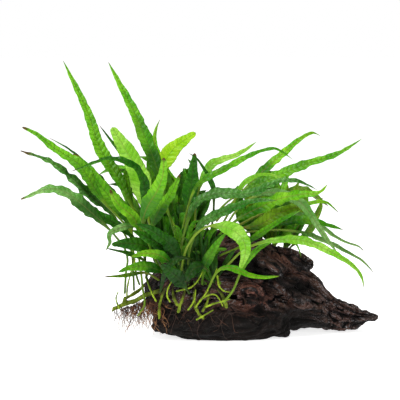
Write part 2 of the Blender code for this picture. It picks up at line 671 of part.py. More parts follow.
def blade_mesh(leaf):
    """The closed skin of a frond: four corners round each row, both ends drawn to points."""
    side, face = leaf.frame()
    last = FROND_STEPS
    thick = STALK_RADIUS + (BLADE_THICKNESS / 2 - STALK_RADIUS) * leaf.flat
    lift = BLADE_FOLD * leaf.half * leaf.flat

    def place(row, turn):
        if row in (0, last):
            return leaf.centres[row]
        corner = round(turn * 4) % 4
        if corner == 0:
            return leaf.centres[row] + side[row] * leaf.half[row] + face[row] * lift[row]
        if corner == 1:
            return leaf.centres[row] + face[row] * thick[row]
        if corner == 2:
            return leaf.centres[row] - side[row] * leaf.half[row] + face[row] * lift[row]
        return leaf.centres[row] - face[row] * thick[row]

    bm = bmesh.new()
    tube_into(bm, last, 4, place)
    bmesh.ops.triangulate(bm, faces=bm.faces, quad_method="SHORT_EDGE")
    return bm


def main():
    """Builds the wood, the rhizomes, the spaces of the fine pieces and the fronds."""
    clear_scene()
    wood = build_wood()
    tree = skin_tree([wood])
    stems = [build_stem(stem, tree) for stem in STEMS]
    bunches = [build_bunch("root_tuft", ROOT_TUFT, ROOT_FINISH)]
    for name, space in INNER_BUNCHES.items():
        bunches.append(build_bunch(name, space, LEAF_FINISH))
    leaves = [Leaf(frond) for frond in FRONDS]
    ease_apart(leaves, skin_tree([wood] + stems + bunches))
    for leaf in leaves:
        add_object(leaf.frond.name, blade_mesh(leaf), LEAF_FINISH)


main()
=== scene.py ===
"""Visual model of a java fern that grows on a chunk of driftwood.

Every length below is in millimetres unless its name says otherwise; meshes are made in
metres, in the frame of the CAD model. The wood, each rhizome and each frond stand for the
CAD node of the same name, and take their place and run from its mesh.
"""

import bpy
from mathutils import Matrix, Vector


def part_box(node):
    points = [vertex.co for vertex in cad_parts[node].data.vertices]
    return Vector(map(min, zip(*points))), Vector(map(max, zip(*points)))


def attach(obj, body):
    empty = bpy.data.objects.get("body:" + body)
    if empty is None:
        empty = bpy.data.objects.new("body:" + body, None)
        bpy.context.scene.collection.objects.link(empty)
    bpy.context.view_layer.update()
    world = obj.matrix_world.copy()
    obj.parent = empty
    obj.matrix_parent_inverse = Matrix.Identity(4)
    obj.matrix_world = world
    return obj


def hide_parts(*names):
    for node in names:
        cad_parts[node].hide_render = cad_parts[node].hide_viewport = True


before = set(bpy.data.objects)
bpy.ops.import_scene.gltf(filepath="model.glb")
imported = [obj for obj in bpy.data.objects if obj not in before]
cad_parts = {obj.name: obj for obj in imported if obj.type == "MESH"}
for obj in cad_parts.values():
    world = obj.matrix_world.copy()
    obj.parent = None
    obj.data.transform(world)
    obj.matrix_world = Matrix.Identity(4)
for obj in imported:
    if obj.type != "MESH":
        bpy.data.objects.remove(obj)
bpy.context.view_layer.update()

import logging
import math
import random
from dataclasses import dataclass
from dataclasses import field
from enum import Enum
from typing import Any
from typing import Callable
from typing import Sequence

import bmesh
import bpy
import numpy as np
from mathutils import Vector
from mathutils import noise
from mathutils.bvhtree import BVHTree

MM = 0.001
BODY = "root"
# Vector noise follows the clock unless it is seeded.
NOISE_SEED = 1

log = logging.getLogger("fern")

Colour = tuple[float, float, float]
Point = tuple[float, float, float]
Place = Callable[[int, int], Vector]
Mark = Callable[[bmesh.types.BMVert, int, int], None]


def display(red: int, green: int, blue: int) -> Colour:
    """Turns a display colour of 0 to 255 a channel into the linear colour that shaders take.

    Args:
        red: Display red.
        green: Display green.
        blue: Display blue.

    Returns:
        The linear colour.
    """

    def linear(value: int) -> float:
        """One channel, from display to linear."""
        share = value / 255
        return share / 12.92 if share <= 0.04045 else ((share + 0.055) / 1.055) ** 2.4

    return linear(red), linear(green), linear(blue)


def displays(*colours: tuple[int, int, int]) -> tuple[Colour, ...]:
    """Turns several display colours into linear ones."""
    return tuple(display(*colour) for colour in colours)


def unit(vectors: np.ndarray) -> np.ndarray:
    """Scales vectors along the last axis to length one."""
    return vectors / np.maximum(np.linalg.norm(vectors, axis=-1, keepdims=True), 1e-9)


def smooth_step(low: float, high: float, value: np.ndarray) -> np.ndarray:
    """Rises smoothly from 0 at low to 1 at high.

    Args:
        low: Where the rise begins.
        high: Where it ends.
        value: The values to map.

    Returns:
        The mapped values.
    """
    share = np.clip((value - low) / (high - low), 0.0, 1.0)
    return share * share * (3 - 2 * share)


def smooth_rows(knots: np.ndarray, count: int) -> np.ndarray:
    """Reads rows at even steps from a Catmull-Rom curve through evenly spaced knots.

    Args:
        knots: One row for each knot.
        count: How many rows to read.

    Returns:
        The rows that were read.
    """
    ends = np.vstack([2 * knots[0] - knots[1], knots, 2 * knots[-1] - knots[-2]])
    where = np.linspace(0.0, len(knots) - 1.0, count)
    first = np.minimum(where.astype(int), len(knots) - 2)
    t = (where - first)[:, None]
    a, b, c, d = (ends[first + k] for k in range(4))
    return 0.5 * (2 * b + (c - a) * t + (2 * a - 5 * b + 4 * c - d) * t**2
                  + (3 * b - a - 3 * c + d) * t**3)


class Value:
    """A shader value that Python's operators turn into Math nodes."""

    def __init__(self, graph: "Graph", socket: bpy.types.NodeSocket) -> None:
        """Keeps the graph and the output socket."""
        self.graph = graph
        self.socket = socket

    def _math(self, operation: str, *terms: Any) -> "Value":
        """Adds one Math node over some terms."""
        return self.graph.node("ShaderNodeMath", {"operation": operation}, dict(enumerate(terms)))

    def __add__(self, other: Any) -> "Value":
        """The sum of two values."""
        return self._math("ADD", self, other)

    __radd__ = __add__

    def __sub__(self, other: Any) -> "Value":
        """The difference of two values."""
        return self._math("SUBTRACT", self, other)

    def __rsub__(self, other: float) -> "Value":
        """A number less this value."""
        return self._math("SUBTRACT", other, self)

    def __mul__(self, other: Any) -> "Value":
        """The product of two values."""
        return self._math("MULTIPLY", self, other)

    __rmul__ = __mul__

    def __abs__(self) -> "Value":
        """The size of this value without its sign."""
        return self._math("ABSOLUTE", self)

    def fold(self, length: float) -> "Value":
        """Runs up and down between 0 and a length."""
        return self._math("PINGPONG", self, length)

    def most(self, other: Any) -> "Value":
        """The larger of two values."""
        return self._math("MAXIMUM", self, other)

    def rise(self, low: float, high: float) -> "Value":
        """Maps low to 0 and high to 1 with soft ends, held outside that range.

        Args:
            low: The value that becomes 0.
            high: The value that becomes 1.

        Returns:
            The mapped value.
        """
        return self.graph.node(
            "ShaderNodeMapRange", {"interpolation_type": "SMOOTHSTEP"},
            {"Value": self, "From Min": low, "From Max": high})


class Graph:
    """The node tree of one material, with its Principled shader."""

    def __init__(self, name: str, **constants: Any) -> None:
        """Makes the material.

        Args:
            name: The material's name.
            constants: Values of the shader's own sockets, by socket name with _ for a space.
        """
        self.material = bpy.data.materials.new(name)
        self.material.use_nodes = True
        self.tree = self.material.node_tree
        self.shader = self.tree.nodes["Principled BSDF"]
        for key, value in constants.items():
            self.shader.inputs[key.replace("_", " ")].default_value = value

    def node(self, kind: str, settings: dict, inputs: dict, out: int | str = 0) -> Value:
        """Adds a node.

        Args:
            kind: The node's type.
            settings: Its properties.
            inputs: Numbers, colours or values for its sockets, by name or number.
            out: Which output to return.

        Returns:
            The chosen output.
        """
        made = self.tree.nodes.new(kind)
        for key, value in settings.items():
            setattr(made, key, value)
        for key, value in inputs.items():
            socket = made.inputs[key]
            if isinstance(value, Value):
                self.tree.links.new(value.socket, socket)
            elif isinstance(value, tuple) and len(value) == 3 and socket.type == "RGBA":
                socket.default_value = (*value, 1.0)
            else:
                socket.default_value = value
        return Value(self, made.outputs[out])

    def here(self) -> Value:
        """The point on the piece, in metres."""
        return self.node("ShaderNodeTexCoord", {}, {}, "Object")

    def attribute(self, name: str, out: str) -> Value:
        """One output of a named attribute of the piece."""
        kind = {"attribute_name": name, "attribute_type": "GEOMETRY"}
        return self.node("ShaderNodeAttribute", kind, {}, out)

    def parts(self, vector: Value) -> tuple[Value, Value, Value]:
        """The three numbers of a vector."""
        split = self.node("ShaderNodeSeparateXYZ", {}, {0: vector})
        return tuple(Value(self, socket) for socket in split.socket.node.outputs)

    def stretched(self, vector: Value, *scale: float) -> Value:
        """A vector scaled on each axis."""
        return self.node("ShaderNodeMapping", {}, {"Vector": vector, "Scale": scale})

    def clouds(self, vector: Value, scale: float, detail: float = 4.0, rough: float = 0.55) -> Value:
        """Soft noise between 0 and 1.

        Args:
            vector: Where it is read.
            scale: Its frequency.
            detail: How many finer layers it has.
            rough: How strong the finer layers are.

        Returns:
            The noise value.
        """
        return self.node("ShaderNodeTexNoise", {},
                         {"Vector": vector, "Scale": scale, "Detail": detail, "Roughness": rough})

    def cells(self, vector: Value, scale: float, feature: str = "F1") -> Value:
        """The distance to the middle, or by its feature to the edge, of a noise's cells."""
        inputs = {"Vector": vector, "Scale": scale}
        return self.node("ShaderNodeTexVoronoi", {"feature": feature}, inputs, "Distance")

    def mix(self, share: Any, low: Any, high: Any) -> Value:
        """The first colour turned into the second by a share."""
        inputs = {0: share, 6: low, 7: high}
        return self.node("ShaderNodeMix", {"data_type": "RGBA"}, inputs, 2)

    def feed(self, **links: Value) -> None:
        """Joins values to the shader's sockets, by socket name with _ for a space."""
        for key, value in links.items():
            self.tree.links.new(value.socket, self.shader.inputs[key.replace("_", " ")])

    def bump(self, height: Value, distance: float, strength: float) -> None:
        """Feeds the shader's normal from a height.

        Args:
            height: The height pattern.
            distance: Metres that a height of one stands for.
            strength: How strong the bump is.
        """
        self.feed(Normal=self.node("ShaderNodeBump", {}, {"Height": height, "Distance": distance,
                                                          "Strength": strength}))


class Finish:
    """A material: the constants of its shader, and what feeds the shader's sockets."""

    CONSTANTS: dict[str, Any] = {}

    def make(self, name: str) -> bpy.types.Material:
        """Makes the material.

        Args:
            name: The material's name.

        Returns:
            The material.
        """
        graph = Graph(name, **self.CONSTANTS)
        self.paint(graph)
        return graph.material

    def paint(self, g: Graph) -> None:
        """Feeds the shader of a graph, in each finish's own way."""
        raise NotImplementedError


class Tone(Enum):
    """The named greens of the fronds."""

    MID = "mid"
    DEEP = "deep"
    BRIGHT = "bright"
    YELLOW = "yellow"
    PALE = "pale"
    DARK = "dark"
    BLUE = "blue"
    OLIVE = "olive"
    GREY = "grey"


@dataclass(frozen=True)
class LeafFinish(Finish):
    """The skin of a frond: its greens, its midrib, its veins, its gloss, and its painted light, glints and
    shade.
    """

    base: Colour
    light: Colour
    dark: Colour
    rib: Colour
    stalk: Colour
    slot: str
    rough: float = 0.34
    vein: float = 0.68
    spots: float = 0.35
    # gleam and sheen: the strength and the colour of the painted glints.
    gleam: float = 0.14
    sheen: Colour = display(146, 196, 96)

    CONSTANTS = dict(Subsurface_Weight=0.10, Subsurface_Radius=(0.6, 1.0, 0.25),
                     Subsurface_Scale=0.002, IOR=1.4, Specular_IOR_Level=0.2)
    VEIN_STEP = 4.6
    VEIN_SLANT = 0.62
    RIB_HALF = 0.38
    SPOT, ROT, ROT_SPECK = displays((30, 34, 10), (84, 58, 26), (34, 20, 12))

    def paint(self, g: Graph) -> None:
        """Feeds the shader with greens, veins, painted lit patches, glints and shade, spots, a midrib and
        brown ends.

        Args:
            g: The material's graph.
        """
        here = g.here()
        across, along, blade = g.parts(g.attribute("place", "Vector"))
        # Brown die-back, pale for the painted light of lit patches and glints, and deep for painted shade.
        brown, pale, deep = g.parts(g.attribute("age", "Vector"))
        patches = g.clouds(here, 62.0, 3.0)
        mottle = g.clouds(here, 420.0, 4.0, 0.62)
        colour = g.mix(patches.rise(0.38, 0.66) * 0.8, self.base, self.light)
        colour = g.mix(mottle.rise(0.5, 0.74) * 0.45, colour, self.dark)
        # Dark veins slant away from the midrib, over a fine net; the sheet swells between them.
        wander = (g.clouds(here, 190.0, 2.0) - 0.5) * 2.4
        slanted = along - abs(across) * self.VEIN_SLANT + wander
        from_vein = slanted.fold(self.VEIN_STEP / 2)
        vein = 1.0 - from_vein.rise(0.0, 0.42)
        bulge = from_vein.rise(0.2, self.VEIN_STEP / 2)
        net = 1.0 - g.cells(here, 520.0, "DISTANCE_TO_EDGE").rise(0.0, 0.13)
        lines = (vein * 0.9).most(net * 0.4) * self.vein * blade
        colour = g.mix(lines, colour, self.dark)
        # Painted light: lit patches where pale is strong.
        colour = g.mix(pale * (0.85 - lines * 0.5), colour, self.light)
        # Painted glints, broken, on the swellings, stronger where the painted light is.
        broken = g.clouds(here, 640.0, 4.0, 0.65).rise(0.44, 0.62)
        lit = (bulge * broken * patches.rise(0.3, 0.54)).most(net.rise(0.2, 0.8) * broken * 0.75)
        colour = g.mix(lit * (self.gleam * blade) * (0.35 + pale * 0.65), colour, self.sheen)
        # Painted shade: dark near the blade's foot and low in the middle of the crown.
        colour = g.mix(deep * 0.9, colour, self.dark)
        # Dark spots with a pale ring, then the midrib and the stalk.
        pitted = g.cells(here, 260.0)
        chosen = g.clouds(here, 95.0, 2.0).rise(0.54, 0.62)
        halo = (1.0 - pitted.rise(0.16, 0.46)) * chosen * self.spots * blade
        spot = (1.0 - pitted.rise(0.10, 0.24)) * chosen * self.spots * blade
        colour = g.mix(halo * 0.3, colour, self.light)
        colour = g.mix(spot.rise(0.0, 0.6) * 0.8, colour, self.SPOT)
        rib = (1.0 - abs(across).rise(self.RIB_HALF * 0.6, self.RIB_HALF * 1.5)) * blade
        colour = g.mix(rib * 0.5, colour, self.rib)
        streaks = g.clouds(here, 120.0, 3.0).rise(0.42, 0.68)
        stalk = g.mix(streaks * 0.6, self.stalk, self.rib)
        # Where the painted shade is strong, the stalk keeps its shaded colour.
        colour = g.mix((1.0 - blade) * (1.0 - (deep - 0.4).most(0.0) * 0.9), colour, stalk)
        # Brown, speckled ends and edges.
        specks = g.clouds(here, 900.0, 2.0)
        rot = (brown + (mottle - 0.5) * 0.5 * brown).rise(0.25, 0.7)
        colour = g.mix(rot, colour, self.ROT)
        colour = g.mix(rot * specks.rise(0.45, 0.7), colour, self.ROT_SPECK)
        rough = self.rough + (mottle - 0.5) * 0.22 + rot * 0.25
        g.feed(Base_Color=colour, Roughness=rough)
        g.bump(bulge * 0.5 * blade - lines * 0.5 + mottle * 0.45 + rib * 0.4 - spot * 0.4, 0.0005, 0.8)


# Each tone: its body, its paler patches and painted light, its veins and painted shade, its midrib and its
# stalk.
LEAF_FINISHES: dict[Tone, LeafFinish] = {
    Tone.MID: LeafFinish(
        *displays((60, 138, 2), (112, 178, 22), (14, 62, 1), (70, 96, 16), (104, 136, 34)),
        "leaf_green", gleam=0.34),
    Tone.DEEP: LeafFinish(
        *displays((24, 82, 2), (60, 122, 14), (4, 32, 1), (48, 60, 14), (48, 70, 14)),
        "leaf_green", gleam=0.3),
    Tone.BRIGHT: LeafFinish(
        *displays((84, 158, 2), (138, 198, 34), (28, 92, 1), (112, 100, 36), (96, 126, 28)),
        "leaf_bright", gleam=0.1),
    Tone.YELLOW: LeafFinish(
        *displays((134, 188, 4), (172, 210, 48), (92, 152, 2), (96, 140, 16), (110, 138, 28)),
        "leaf_bright", spots=0.12, gleam=0.05),
    Tone.PALE: LeafFinish(
        *displays((108, 172, 26), (156, 202, 78), (52, 116, 8), (106, 128, 44), (108, 134, 36)),
        "leaf_bright", spots=0.15, gleam=0.1),
    Tone.DARK: LeafFinish(
        *displays((20, 82, 2), (52, 118, 10), (3, 28, 1), (40, 54, 14), (46, 68, 14)),
        "leaf_dark", rough=0.3, spots=0.4, gleam=0.3, sheen=display(120, 180, 84)),
    Tone.BLUE: LeafFinish(
        *displays((32, 96, 10), (84, 138, 52), (8, 44, 3), (60, 76, 28), (82, 112, 26)),
        "leaf_green", rough=0.3, gleam=0.7, sheen=display(146, 194, 124)),
    Tone.OLIVE: LeafFinish(
        *displays((80, 130, 4), (128, 166, 30), (34, 74, 2), (96, 84, 30), (84, 104, 26)),
        "leaf_green", spots=0.45),
    Tone.GREY: LeafFinish(
        *displays((74, 134, 40), (132, 174, 96), (36, 80, 20), (100, 104, 56), (116, 146, 50)),
        "leaf_green", gleam=0.4, sheen=display(158, 196, 146)),
}


@dataclass(frozen=True)
class WoodFinish(Finish):
    """Dark wet bogwood: painted shade in its grooves, hollows and cracks, brown ribs partly brightened with
    painted light, a reddish rubbed knob and a painted grey sheen with glints.
    """

    # The near-black of the painted shade in grooves and hollows, also of the fine dark grain lines.
    hollow: Colour = display(9, 6, 4)
    body: Colour = display(43, 31, 26)
    brown: Colour = display(94, 65, 52)
    worn: Colour = display(142, 88, 72)
    # The colours of the painted grey sheen and of the painted glints.
    bloom: Colour = display(128, 122, 122)
    wet: Colour = display(168, 166, 168)
    # The near-black of the painted shade in cracks and pits.
    split: Colour = display(4, 3, 3)

    CONSTANTS = dict(IOR=1.35, Specular_IOR_Level=0.3)

    def paint(self, g: Graph) -> None:
        """Feeds the shader with fibres, painted shade in grooves, hollows and cracks, lighter brown crests,
        a rubbed knob and a painted grey sheen with glints.

        Args:
            g: The material's graph.
        """
        here = g.here()
        # height is the relief less its pits and cracks: it sets the painted shade in the grooves and the
        # painted light on the crests; crack sets the painted shade in cracks and pits.
        height, crack, tail = g.parts(g.attribute("weather", "Vector"))
        low, rubbed, shaded = g.parts(g.attribute("zone", "Vector"))
        run = g.attribute("grain", "Vector")
        fibre = g.clouds(g.stretched(run, 0.6, 2.6, 2.6), 95.0, 5.0, 0.6)
        fine = g.clouds(g.stretched(run, 1.0, 4.0, 4.0), 170.0, 5.0, 0.7)
        patches = g.clouds(here, 40.0, 4.0)
        grit = g.clouds(here, 700.0, 5.0, 0.7)
        up = 1.0 - low * 0.85
        crest = height.rise(0.38, 0.84)
        # Fibres, with painted shade where the relief is low.
        colour = g.mix(fibre.rise(0.38, 0.56) * height.rise(0.2, 0.5), self.hollow, self.body)
        # Brown on the upper crests: partly the wood's own brown, partly painted light.
        colour = g.mix(fibre.rise(0.42, 0.56) * patches.rise(0.28, 0.5) * up * crest, colour, self.brown)
        colour = g.mix(rubbed * fibre.rise(0.36, 0.6) * grit.rise(0.36, 0.58) * height.rise(0.2, 0.6),
                       colour, self.worn)
        # Painted grey sheen and glints on the crests, stronger on the tail, weaker low on the chunk.
        gleam = fine.rise(0.54, 0.62) * crest * (1.0 - low * 0.8)
        colour = g.mix(gleam * (0.3 + tail * 0.25), colour, self.bloom)
        colour = g.mix(grit.rise(0.6, 0.72) * crest * up * 0.35, colour, self.bloom)
        glint = grit.rise(0.5, 0.58) * fine.rise(0.48, 0.56) * height.rise(0.3, 0.55)
        colour = g.mix(glint * (0.2 + tail * 0.4 + patches.rise(0.5, 0.6) * 0.5) * (1.0 - low * 0.6),
                       colour, self.wet)
        colour = g.mix((1.0 - fine.rise(0.38, 0.48)) * 0.8, colour, self.hollow)
        # Painted shade in the listed hollows; the lower body is also darker towards the bottom.
        colour = g.mix((shaded * 0.9).most(low * 0.74), colour, self.hollow)
        # Painted shade in cracks and pits.
        colour = g.mix(crack.rise(0.2, 0.65), colour, self.split)
        g.feed(Base_Color=colour, Roughness=0.3 + fine * 0.2 + grit * 0.2 + crack * 0.3 + low * 0.2)
        g.bump(fibre * 1.2 + fine * 0.9 + grit * 0.3, 0.0036, 1.0)


@dataclass(frozen=True)
class RhizomeFinish(Finish):
    """A creeping rhizome: yellow-green skin under brown scales and specks."""

    skin: Colour = display(120, 140, 32)
    shade: Colour = display(88, 108, 18)
    scale: Colour = display(50, 34, 16)
    cut: Colour = display(206, 160, 132)
    # The dark of the painted shade on the high stretches that run under the crown.
    old: Colour = display(30, 20, 12)

    CONSTANTS = dict(Subsurface_Weight=0.08, Subsurface_Radius=(1.0, 0.8, 0.3), Subsurface_Scale=0.001,
                     IOR=1.4, Specular_IOR_Level=0.22)

    def paint(self, g: Graph) -> None:
        """Feeds the shader with patches, scales, specks, painted shade on the high stretches and the pale
        cut end.

        Args:
            g: The material's graph.
        """
        here = g.here()
        patches = g.clouds(here, 160.0, 3.0)
        specks = g.cells(here, 900.0)
        rings = g.clouds(g.stretched(here, 3.0, 1.0, 1.0), 420.0, 3.0)
        colour = g.mix(patches.rise(0.4, 0.62), self.skin, self.shade)
        colour = g.mix(rings.rise(0.5, 0.7) * 0.7, colour, self.scale)
        colour = g.mix((1.0 - specks.rise(0.12, 0.34)) * 0.75, colour, self.scale)
        # Painted shade on the high stretches that run under the crown.
        old = g.attribute("old", "Fac")
        colour = g.mix(old * (0.5 + rings * 0.9).rise(0.6, 0.9), colour, self.old)
        cut = g.attribute("cut", "Fac")
        colour = g.mix(cut.rise(0.3, 0.7), colour, self.cut)
        g.feed(Base_Color=colour, Roughness=0.42 + rings * 0.25)
        g.bump(rings * 0.6 + (1.0 - specks.rise(0.1, 0.4)) * 0.5 + patches * 0.4, 0.0006, 0.8)


@dataclass(frozen=True)
class RootFinish(Finish):
    """Wiry hair roots, from near-black through rust to tan tips."""

    dark: Colour = display(40, 21, 12)
    rust: Colour = display(108, 60, 30)
    tan: Colour = display(186, 134, 84)

    CONSTANTS = dict(Roughness=0.7)

    def paint(self, g: Graph) -> None:
        """Feeds the shader with dark, rust and tan stretches.

        Args:
            g: The material's graph.
        """
        here = g.here()
        share = g.attribute("share", "Fac")
        patches = g.clouds(here, 210.0, 3.0)
        colour = g.mix(patches.rise(0.35, 0.65) * (share * 2.2 + 0.15).rise(0.0, 1.0), self.dark, self.rust)
        colour = g.mix(share.rise(0.45, 1.0) * patches.rise(0.3, 0.7), colour, self.tan)
        g.feed(Base_Color=colour)
        g.bump(g.clouds(here, 2600.0, 2.0), 0.0003, 0.6)


def merged_copy(node: str) -> bmesh.types.BMesh:
    """Copies a CAD node's loose triangles into one mesh with shared corners.

    Args:
        node: The node's name.

    Returns:
        The copy.
    """
    bm = bmesh.new()
    bm.from_mesh(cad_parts[node].data)
    bmesh.ops.remove_doubles(bm, verts=bm.verts, dist=1e-6)
    return bm


def fine_copy(node: str, voxel: float, smoothings: int) -> bmesh.types.BMesh:
    """Copies a CAD node as one even, finer skin.

    Args:
        node: The node's name.
        voxel: The size of its new faces.
        smoothings: How many times its corners are relaxed.

    Returns:
        The copy.
    """
    coarse = merged_copy(node)
    mesh = bpy.data.meshes.new("coarse")
    coarse.to_mesh(mesh)
    coarse.free()
    base = bpy.data.objects.new("coarse", mesh)
    bpy.context.collection.objects.link(base)
    remesh = base.modifiers.new("fine", "REMESH")
    remesh.mode = "VOXEL"
    remesh.voxel_size = voxel * MM
    bm = bmesh.new()
    bm.from_mesh(base.evaluated_get(bpy.context.evaluated_depsgraph_get()).to_mesh())
    bpy.data.objects.remove(base, do_unlink=True)
    for _ in range(smoothings):
        bmesh.ops.smooth_vert(bm, verts=bm.verts, factor=0.5, use_axis_x=True, use_axis_y=True,
                              use_axis_z=True)
    bm.normal_update()
    return bm


def add_piece(name: str, bm: bmesh.types.BMesh, material: bpy.types.Material, slot: str,
              nodes: Sequence[str] = ()) -> bpy.types.Object:
    """Makes a piece of the object from a bmesh.

    Args:
        name: The piece's name.
        bm: Its mesh, which is freed.
        material: Its finish.
        slot: The record's slot for that finish. Not used.
        nodes: The CAD nodes that it stands for.

    Returns:
        The piece.
    """
    mesh = bpy.data.meshes.new(name)
    bm.to_mesh(mesh)
    bm.free()
    mesh.shade_smooth()
    mesh.materials.append(material)
    piece = bpy.data.objects.new(name, mesh)
    bpy.context.collection.objects.link(piece)
    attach(piece, BODY)
    if nodes:
        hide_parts(*nodes)
    log.info("%s: %d faces", name, len(mesh.polygons))
    return piece


def rolled_grid(bm: bmesh.types.BMesh, columns: int, rows: int, place: Place,
                mark: Mark | None = None) -> None:
    """Rolls a grid into a closed skin whose first and last rows are drawn to points.

    Args:
        bm: The mesh that it is added to.
        columns: How many columns go round.
        rows: How many steps go along.
        place: Gives the place of a corner from its row and column, in metres.
        mark: Writes a corner's attributes, from its row and column.
    """
    made = bmesh.ops.create_grid(bm, x_segments=columns, y_segments=rows, size=0.5)["verts"]
    for vert in made:
        row = round((vert.co.y + 0.5) * rows)
        column = round((vert.co.x + 0.5) * columns) % columns
        vert.co = place(row, column)
        if mark:
            mark(vert, row, column)
    bmesh.ops.remove_doubles(bm, verts=made, dist=1e-7)


def tube(bm: bmesh.types.BMesh, sides: int, route: np.ndarray, radii: Sequence[float], start: Point,
         mark: Mark | None = None) -> None:
    """Adds a closed round tube that is drawn to a point at both ends.

    Args:
        bm: The mesh that it is added to.
        sides: How many corners go round.
        route: Its centres, in millimetres.
        radii: Its radius at each centre, in millimetres.
        start: A direction that the first corner of each ring is square to.
        mark: Writes a corner's attributes, from its row and column.
    """
    ahead = unit(np.gradient(route, axis=0))
    across = unit(np.cross(ahead, start))
    other = np.cross(ahead, across)
    last = len(route) - 1

    def place(row: int, column: int) -> Vector:
        """Places one corner.

        Args:
            row: Its ring.
            column: Its number round the ring.

        Returns:
            The place, in metres.
        """
        if row in (0, last):
            return Vector(route[row] * MM)
        angle = math.tau * column / sides
        out = across[row] * math.cos(angle) + other[row] * math.sin(angle)
        return Vector((route[row] + out * radii[row]) * MM)

    rolled_grid(bm, sides, last, place, mark)


@dataclass
class Rows:
    """The rows of a blade: centres, sideways and outward directions, and half widths."""

    centres: np.ndarray
    side: np.ndarray
    face: np.ndarray
    half: np.ndarray


class SolidRows(Rows):
    """The rows of a frond, read from its CAD solid."""

    def __init__(self, node: str) -> None:
        """Walks the solid from one pointed end to the other.

        Args:
            node: The frond's node.
        """
        bm = merged_copy(node)
        self.corners = np.array([vert.co for vert in bm.verts]) / MM
        bm.verts.index_update()
        self.near = [{edge.other_vert(vert).index for edge in vert.link_edges} for vert in bm.verts]
        bm.free()
        walks = (self._rings(i) for i, near in enumerate(self.near) if len(near) == 4)
        rings = next(walk for walk in walks
                     if [len(ring) for ring in walk] == [1] + [4] * (len(walk) - 2) + [1])
        if self._aspect(rings[1]) > self._aspect(rings[-2]):
            rings = rings[::-1]
        self._measure(rings)

    def _rings(self, start: int) -> list[list[int]]:
        """Sorts the corners by how many edges they lie from one corner.

        Args:
            start: That corner.

        Returns:
            The rings of corners, nearest first.
        """
        rings = [[start]]
        seen = {start}
        while rings[-1]:
            ring = sorted({j for i in rings[-1] for j in self.near[i]} - seen)
            seen.update(ring)
            rings.append(ring)
        return rings[:-1]

    def _pairs(self, ring: list[int]) -> list[tuple[int, int]]:
        """The two pairs of opposite corners of a ring, the longer first."""
        pairs = [(a, b) for k, a in enumerate(ring) for b in ring[k + 1:] if b not in self.near[a]]
        return sorted(pairs, key=lambda p: -np.linalg.norm(self.corners[p[0]] - self.corners[p[1]]))

    def _aspect(self, ring: list[int]) -> float:
        """Compares a ring's width with its thickness.

        Args:
            ring: Its corners.

        Returns:
            The width over the thickness.
        """
        (a, b), (c, d) = self._pairs(ring)
        return float(np.linalg.norm(self.corners[a] - self.corners[b])
                     / np.linalg.norm(self.corners[c] - self.corners[d]))

    def _measure(self, rings: list[list[int]]) -> None:
        """Fills in the rows, carrying the sideways direction on from the widest ring.

        Args:
            rings: The rings of corners, from the root to the tip.
        """
        count = len(rings)
        self.centres = np.zeros((count, 3))
        self.side = np.zeros((count, 3))
        self.face = np.zeros((count, 3))
        self.half = np.zeros(count)
        widest = max(range(1, count - 1), key=lambda k: self._aspect(rings[k]))
        for step in (1, -1):
            known_side = None
            known_face = None
            row = widest
            while 0 < row < count - 1:
                pairs = self._pairs(rings[row])
                if known_side is not None:
                    pairs.sort(key=lambda p: -abs(
                        unit(self.corners[p[0]] - self.corners[p[1]]) @ known_side))
                (a, b), (c, d) = pairs[:2]
                edge = self.corners[a] - self.corners[b]
                rise = self.corners[c] - self.corners[d]
                middle = (self.corners[c] + self.corners[d]) / 2
                if known_side is None:
                    lift = (self.corners[a] + self.corners[b]) / 2 - middle
                    known_side = unit(edge)
                    known_face = unit(lift)
                edge = edge * (1 if edge @ known_side > 0 else -1)
                rise = rise * (1 if rise @ known_face > 0 else -1)
                known_side, known_face = unit(edge), unit(rise)
                self.centres[row], self.side[row], self.face[row] = middle, known_side, known_face
                self.half[row] = np.linalg.norm(edge) / 2
                row += step
        for end, inner in ((0, 1), (-1, -2)):
            self.centres[end] = self.corners[rings[end][0]]
            self.side[end], self.face[end] = self.side[inner], self.face[inner]
        self.half[0] = self.half[1]


@dataclass(frozen=True)
class Look:
    """How one frond has grown.

    Its ruffle scales the waves of its edges, and its bulge scales how far the sheet swells
    between veins. Brown is about the share of its length that has died back, pale is how
    strongly its painted lit patches and glints show, and deep is how strongly painted shade
    darkens it near its foot.
    """

    tone: Tone
    ruffle: float
    bulge: float
    brown: float
    pale: float = 0.0
    deep: float = 0.0
